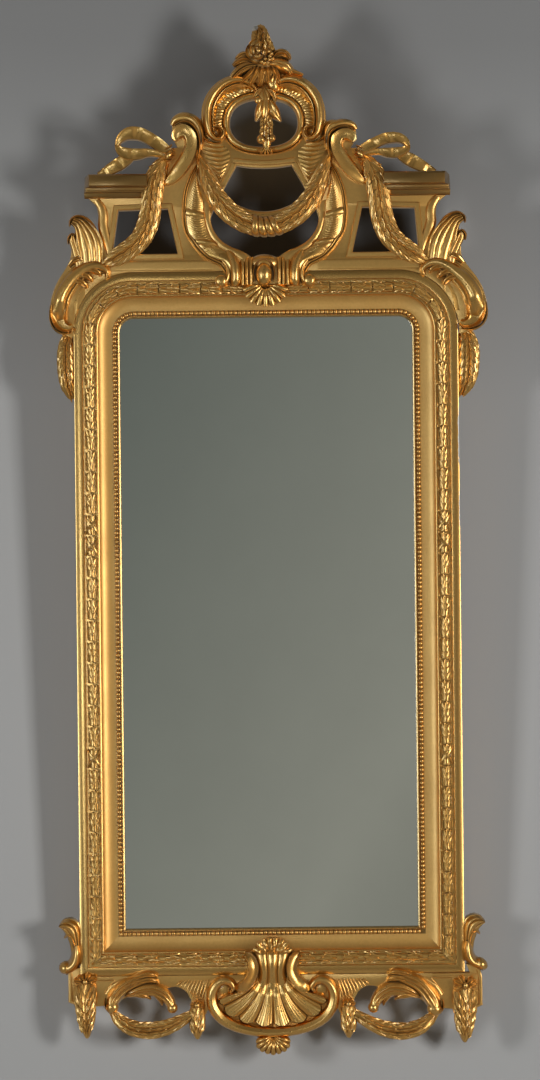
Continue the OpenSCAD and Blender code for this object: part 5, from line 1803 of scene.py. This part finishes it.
# ---------- stage ----------


def aim(piece, target):
    """Turns a lamp or the camera towards a point."""
    piece.rotation_euler = (Vector(target) - piece.location).to_track_quat("-Z", "Y").to_euler()


def softbox(name, place, target, size, power, wall=False, tint=(1, 1, 1)):
    """Soft lamp that lights either the gilding and the glass or the wall and the bare wood."""
    lamp = bpy.data.lights.new(name, "AREA")
    lamp.shape = "RECTANGLE"
    lamp.size, lamp.size_y = size
    lamp.energy = power
    lamp.color = tint
    piece = bpy.data.objects.new(name, lamp)
    bpy.context.scene.collection.objects.link(piece)
    piece.location = place
    piece.visible_diffuse = wall
    piece.visible_glossy = not wall
    aim(piece, target)
    return piece


class PIER_OT_stage(bpy.types.Operator):
    """Camera, lamps, floor and backdrop"""

    bl_idname = "pier.stage"
    bl_label = "Stage"

    def execute(self, context):
        s = settings().stage
        scene = bpy.context.scene
        camera = bpy.data.cameras.new("camera")
        camera.lens = s.lens
        camera.sensor_width = 36
        eye = bpy.data.objects.new("camera", camera)
        scene.collection.objects.link(eye)
        eye.matrix_world = (Matrix.Translation((0.0032, -s.distance, 0.1324))
                            @ Matrix.Rotation(math.pi / 2, 4, "X")
                            @ Matrix.Rotation(math.radians(-0.6), 4, "Z"))
        scene.camera = eye
        softbox("lamp_left", (-2.4, -2.1, -0.1), (0, 0, 0.1), (0.9, 1.7), s.left_power,
                tint=(0.62, 0.78, 1.0))
        softbox("lamp_right", (2.5, -2.0, 0.0), (0, 0, 0.1), (0.9, 1.7), s.right_power)
        softbox("lamp_front", (-1.02, -4.7, -0.12), (0, 0, 0.1), (0.6, 1.2), s.front_power,
                tint=(0.72, 0.84, 1.0))
        softbox("wall_lamp_left", (-2.7, -2.1, 0.1), (0, 0, 0.1), (0.5, 0.9), s.wall_power * 0.8, wall=True)
        softbox("wall_lamp_right", (2.4, -2.4, 0.1), (0, 0, 0.1), (0.5, 0.9), s.wall_power, wall=True)
        self.world()
        self.floor()
        self.wall(s)
        scene.view_settings.view_transform = "Standard"
        return {"FINISHED"}

    def world(self):
        """Grey room that the plate and the gilding mirror, and an even fill for all else."""
        world = bpy.data.worlds.new("studio")
        bpy.context.scene.world = world
        n = Nodes(world, "ShaderNodeOutputWorld")
        way = n.add("ShaderNodeTexCoord", {}, {}, "Generated")
        along = n.add("ShaderNodeVectorMath", {"operation": "DOT_PRODUCT"}, {0: way, 1: (-0.85, 0, 0.5)},
                      "Value")
        room = n.ramp(along + 0.5, [
            (0.05, (0.22, 0.21, 0.19, 1)), (0.32, (0.12, 0.115, 0.10, 1)), (0.43, (0.278, 0.274, 0.240, 1)),
            (0.56, (0.142, 0.152, 0.138, 1)), (0.66, (0.04, 0.04, 0.036, 1)), (0.78, (0.10, 0.10, 0.09, 1)),
            (0.95, (0.22, 0.21, 0.19, 1))])
        fill = n.ramp(n.part(way, "Y"), [(0.0, (0.035, 0.035, 0.034, 1)), (0.35, (0.50, 0.49, 0.465, 1))])
        rays = [n.add("ShaderNodeLightPath", {}, {}, "Is " + kind + " Ray")
                for kind in ("Camera", "Glossy", "Transmission")]
        seen = rays[0].sum("MAXIMUM", rays[0].sum("MAXIMUM", rays[0], rays[1]), rays[2])
        light, shown = (n.add("ShaderNodeBackground", {}, {0: tone}) for tone in (fill, room))
        n.show(n.add("ShaderNodeMixShader", {}, {0: seen, 1: light, 2: shown}))

    def floor(self):
        """Pale floor below the mirror, out of the photograph's view, that fades out at its rim."""
        clear_selection()
        bpy.ops.mesh.primitive_circle_add(vertices=96, radius=1.3, fill_type="NGON",
                                          location=(0, 0.2, -0.98))
        bpy.ops.object.transform_apply(location=True)
        piece = bpy.context.active_object
        piece.name = "floor"
        f = Finish("pale_floor")
        f.set(Base_Color=(0.55, 0.54, 0.51, 1), Roughness=0.8)
        away = f.length(f.add("ShaderNodeMapping", {}, {"Vector": f.place(), "Location": (0, -0.2, 0.98)}))
        clear = f.add("ShaderNodeBsdfTransparent", {}, {})
        f.show(f.add("ShaderNodeMixShader", {}, {0: away.over(0.85, 1.28), 1: f.surface(), 2: clear}))
        piece.data.materials.append(f.material)

    def wall(self, s):
        """Grey wall that shows from the front alone and lets the light reach the back."""
        clear_selection()
        bpy.ops.mesh.primitive_plane_add(size=1, rotation=(math.pi / 2, 0, 0))
        piece = bpy.context.active_object
        piece.name = "wall"
        piece.scale = (3.4, 3.4, 1)
        bpy.ops.object.transform_apply(location=True, rotation=True, scale=True)
        lean = Matrix.Translation((0, 0.052, 0.13)) @ Matrix.Rotation(math.radians(-2.4), 4, "X")
        piece.data.transform(lean)
        f = Finish("grey_wall")
        place = f.place()
        height = f.part(place, "Z")
        cloud = f.noise(1.1, 2, 0.5, place=place)
        # painted light falloff: the grey is painted darkest at the top and a little darker at the foot than
        # beside the plate
        tone = (height + cloud * 0.3 - 0.15).over(-0.75, 1.0)
        lower, middle, upper = colour(s.wall_foot), colour(s.wall_middle), colour(s.wall_top)
        shade = f.ramp(tone, [(0.0, lower), (0.28, middle), (0.62, middle), (0.98, upper)])
        # painted shadow: the wall is painted darker round the crest and behind its two windows
        off = f.oval(place, 0, 0.71, 0.27, 0.22)
        near = (1 - off.over(0.50, 1.2)) * (off.over(0.45, 0.85) * 0.56 + 0.1)
        aside, above = (f.add("ShaderNodeMath", {"operation": "ABSOLUTE"}, {0: v})
                        for v in (f.part(place, "X"), height - 0.63))
        behind = (1 - aside.over(0.235, 0.30)) * (1 - above.over(0.05, 0.12)) * 0.8
        for strength in (near, behind):
            shade = f.blend(strength, shade, (0.048, 0.049, 0.052, 1))
        f.set(Base_Color=shade, Roughness=0.9)
        f.shader.inputs["Specular IOR Level"].default_value = 0.1
        front = 1 - f.add("ShaderNodeNewGeometry", {}, {}, "Backfacing")
        seen = f.add("ShaderNodeLightPath", {}, {},
                     "Is Camera Ray") * front * (1 - f.length(place).over(1.25, 1.6))
        clear = f.add("ShaderNodeBsdfTransparent", {}, {})
        f.show(f.add("ShaderNodeMixShader", {}, {0: seen, 1: clear, 2: f.surface()}))
        piece.data.materials.append(f.material)


class PIER_PT_panel(bpy.types.Panel):
    """Sizes, finishes and pieces of the pier mirror"""

    bl_idname = "PIER_PT_panel"
    bl_label = "Pier mirror"
    bl_space_type = "VIEW_3D"
    bl_region_type = "UI"
    bl_category = "Pier mirror"

    def draw(self, context):
        all_settings = context.scene.pier_mirror
        for group in (all_settings.laurel, all_settings.course, all_settings.finish, all_settings.stage):
            box = self.layout.box()
            for name in group.bl_rna.properties.keys():
                if name not in ("rna_type", "name"):
                    box.prop(group, name)
        column = self.layout.column()
        for operator in OPERATORS:
            column.operator(operator.bl_idname)


OPERATORS = (PIER_OT_stage, PIER_OT_mouldings, PIER_OT_laurel, PIER_OT_back, PIER_OT_crest_boards,
             PIER_OT_crest_carving, PIER_OT_apron)
CLASSES = (LaurelSizes, CourseSizes, Finishes, StageSizes, PierMirror) + OPERATORS + (PIER_PT_panel,)


def register():
    for item in CLASSES:
        bpy.utils.register_class(item)
    bpy.types.Scene.pier_mirror = PointerProperty(type=PierMirror)


def unregister():
    del bpy.types.Scene.pier_mirror
    for item in reversed(CLASSES):
        bpy.utils.unregister_class(item)


def main():
    register()
    make_shapes()
    for operator in OPERATORS:
        group, name = operator.bl_idname.split(".")
        getattr(getattr(bpy.ops, group), name)()


if __name__ == "__main__":
    main()
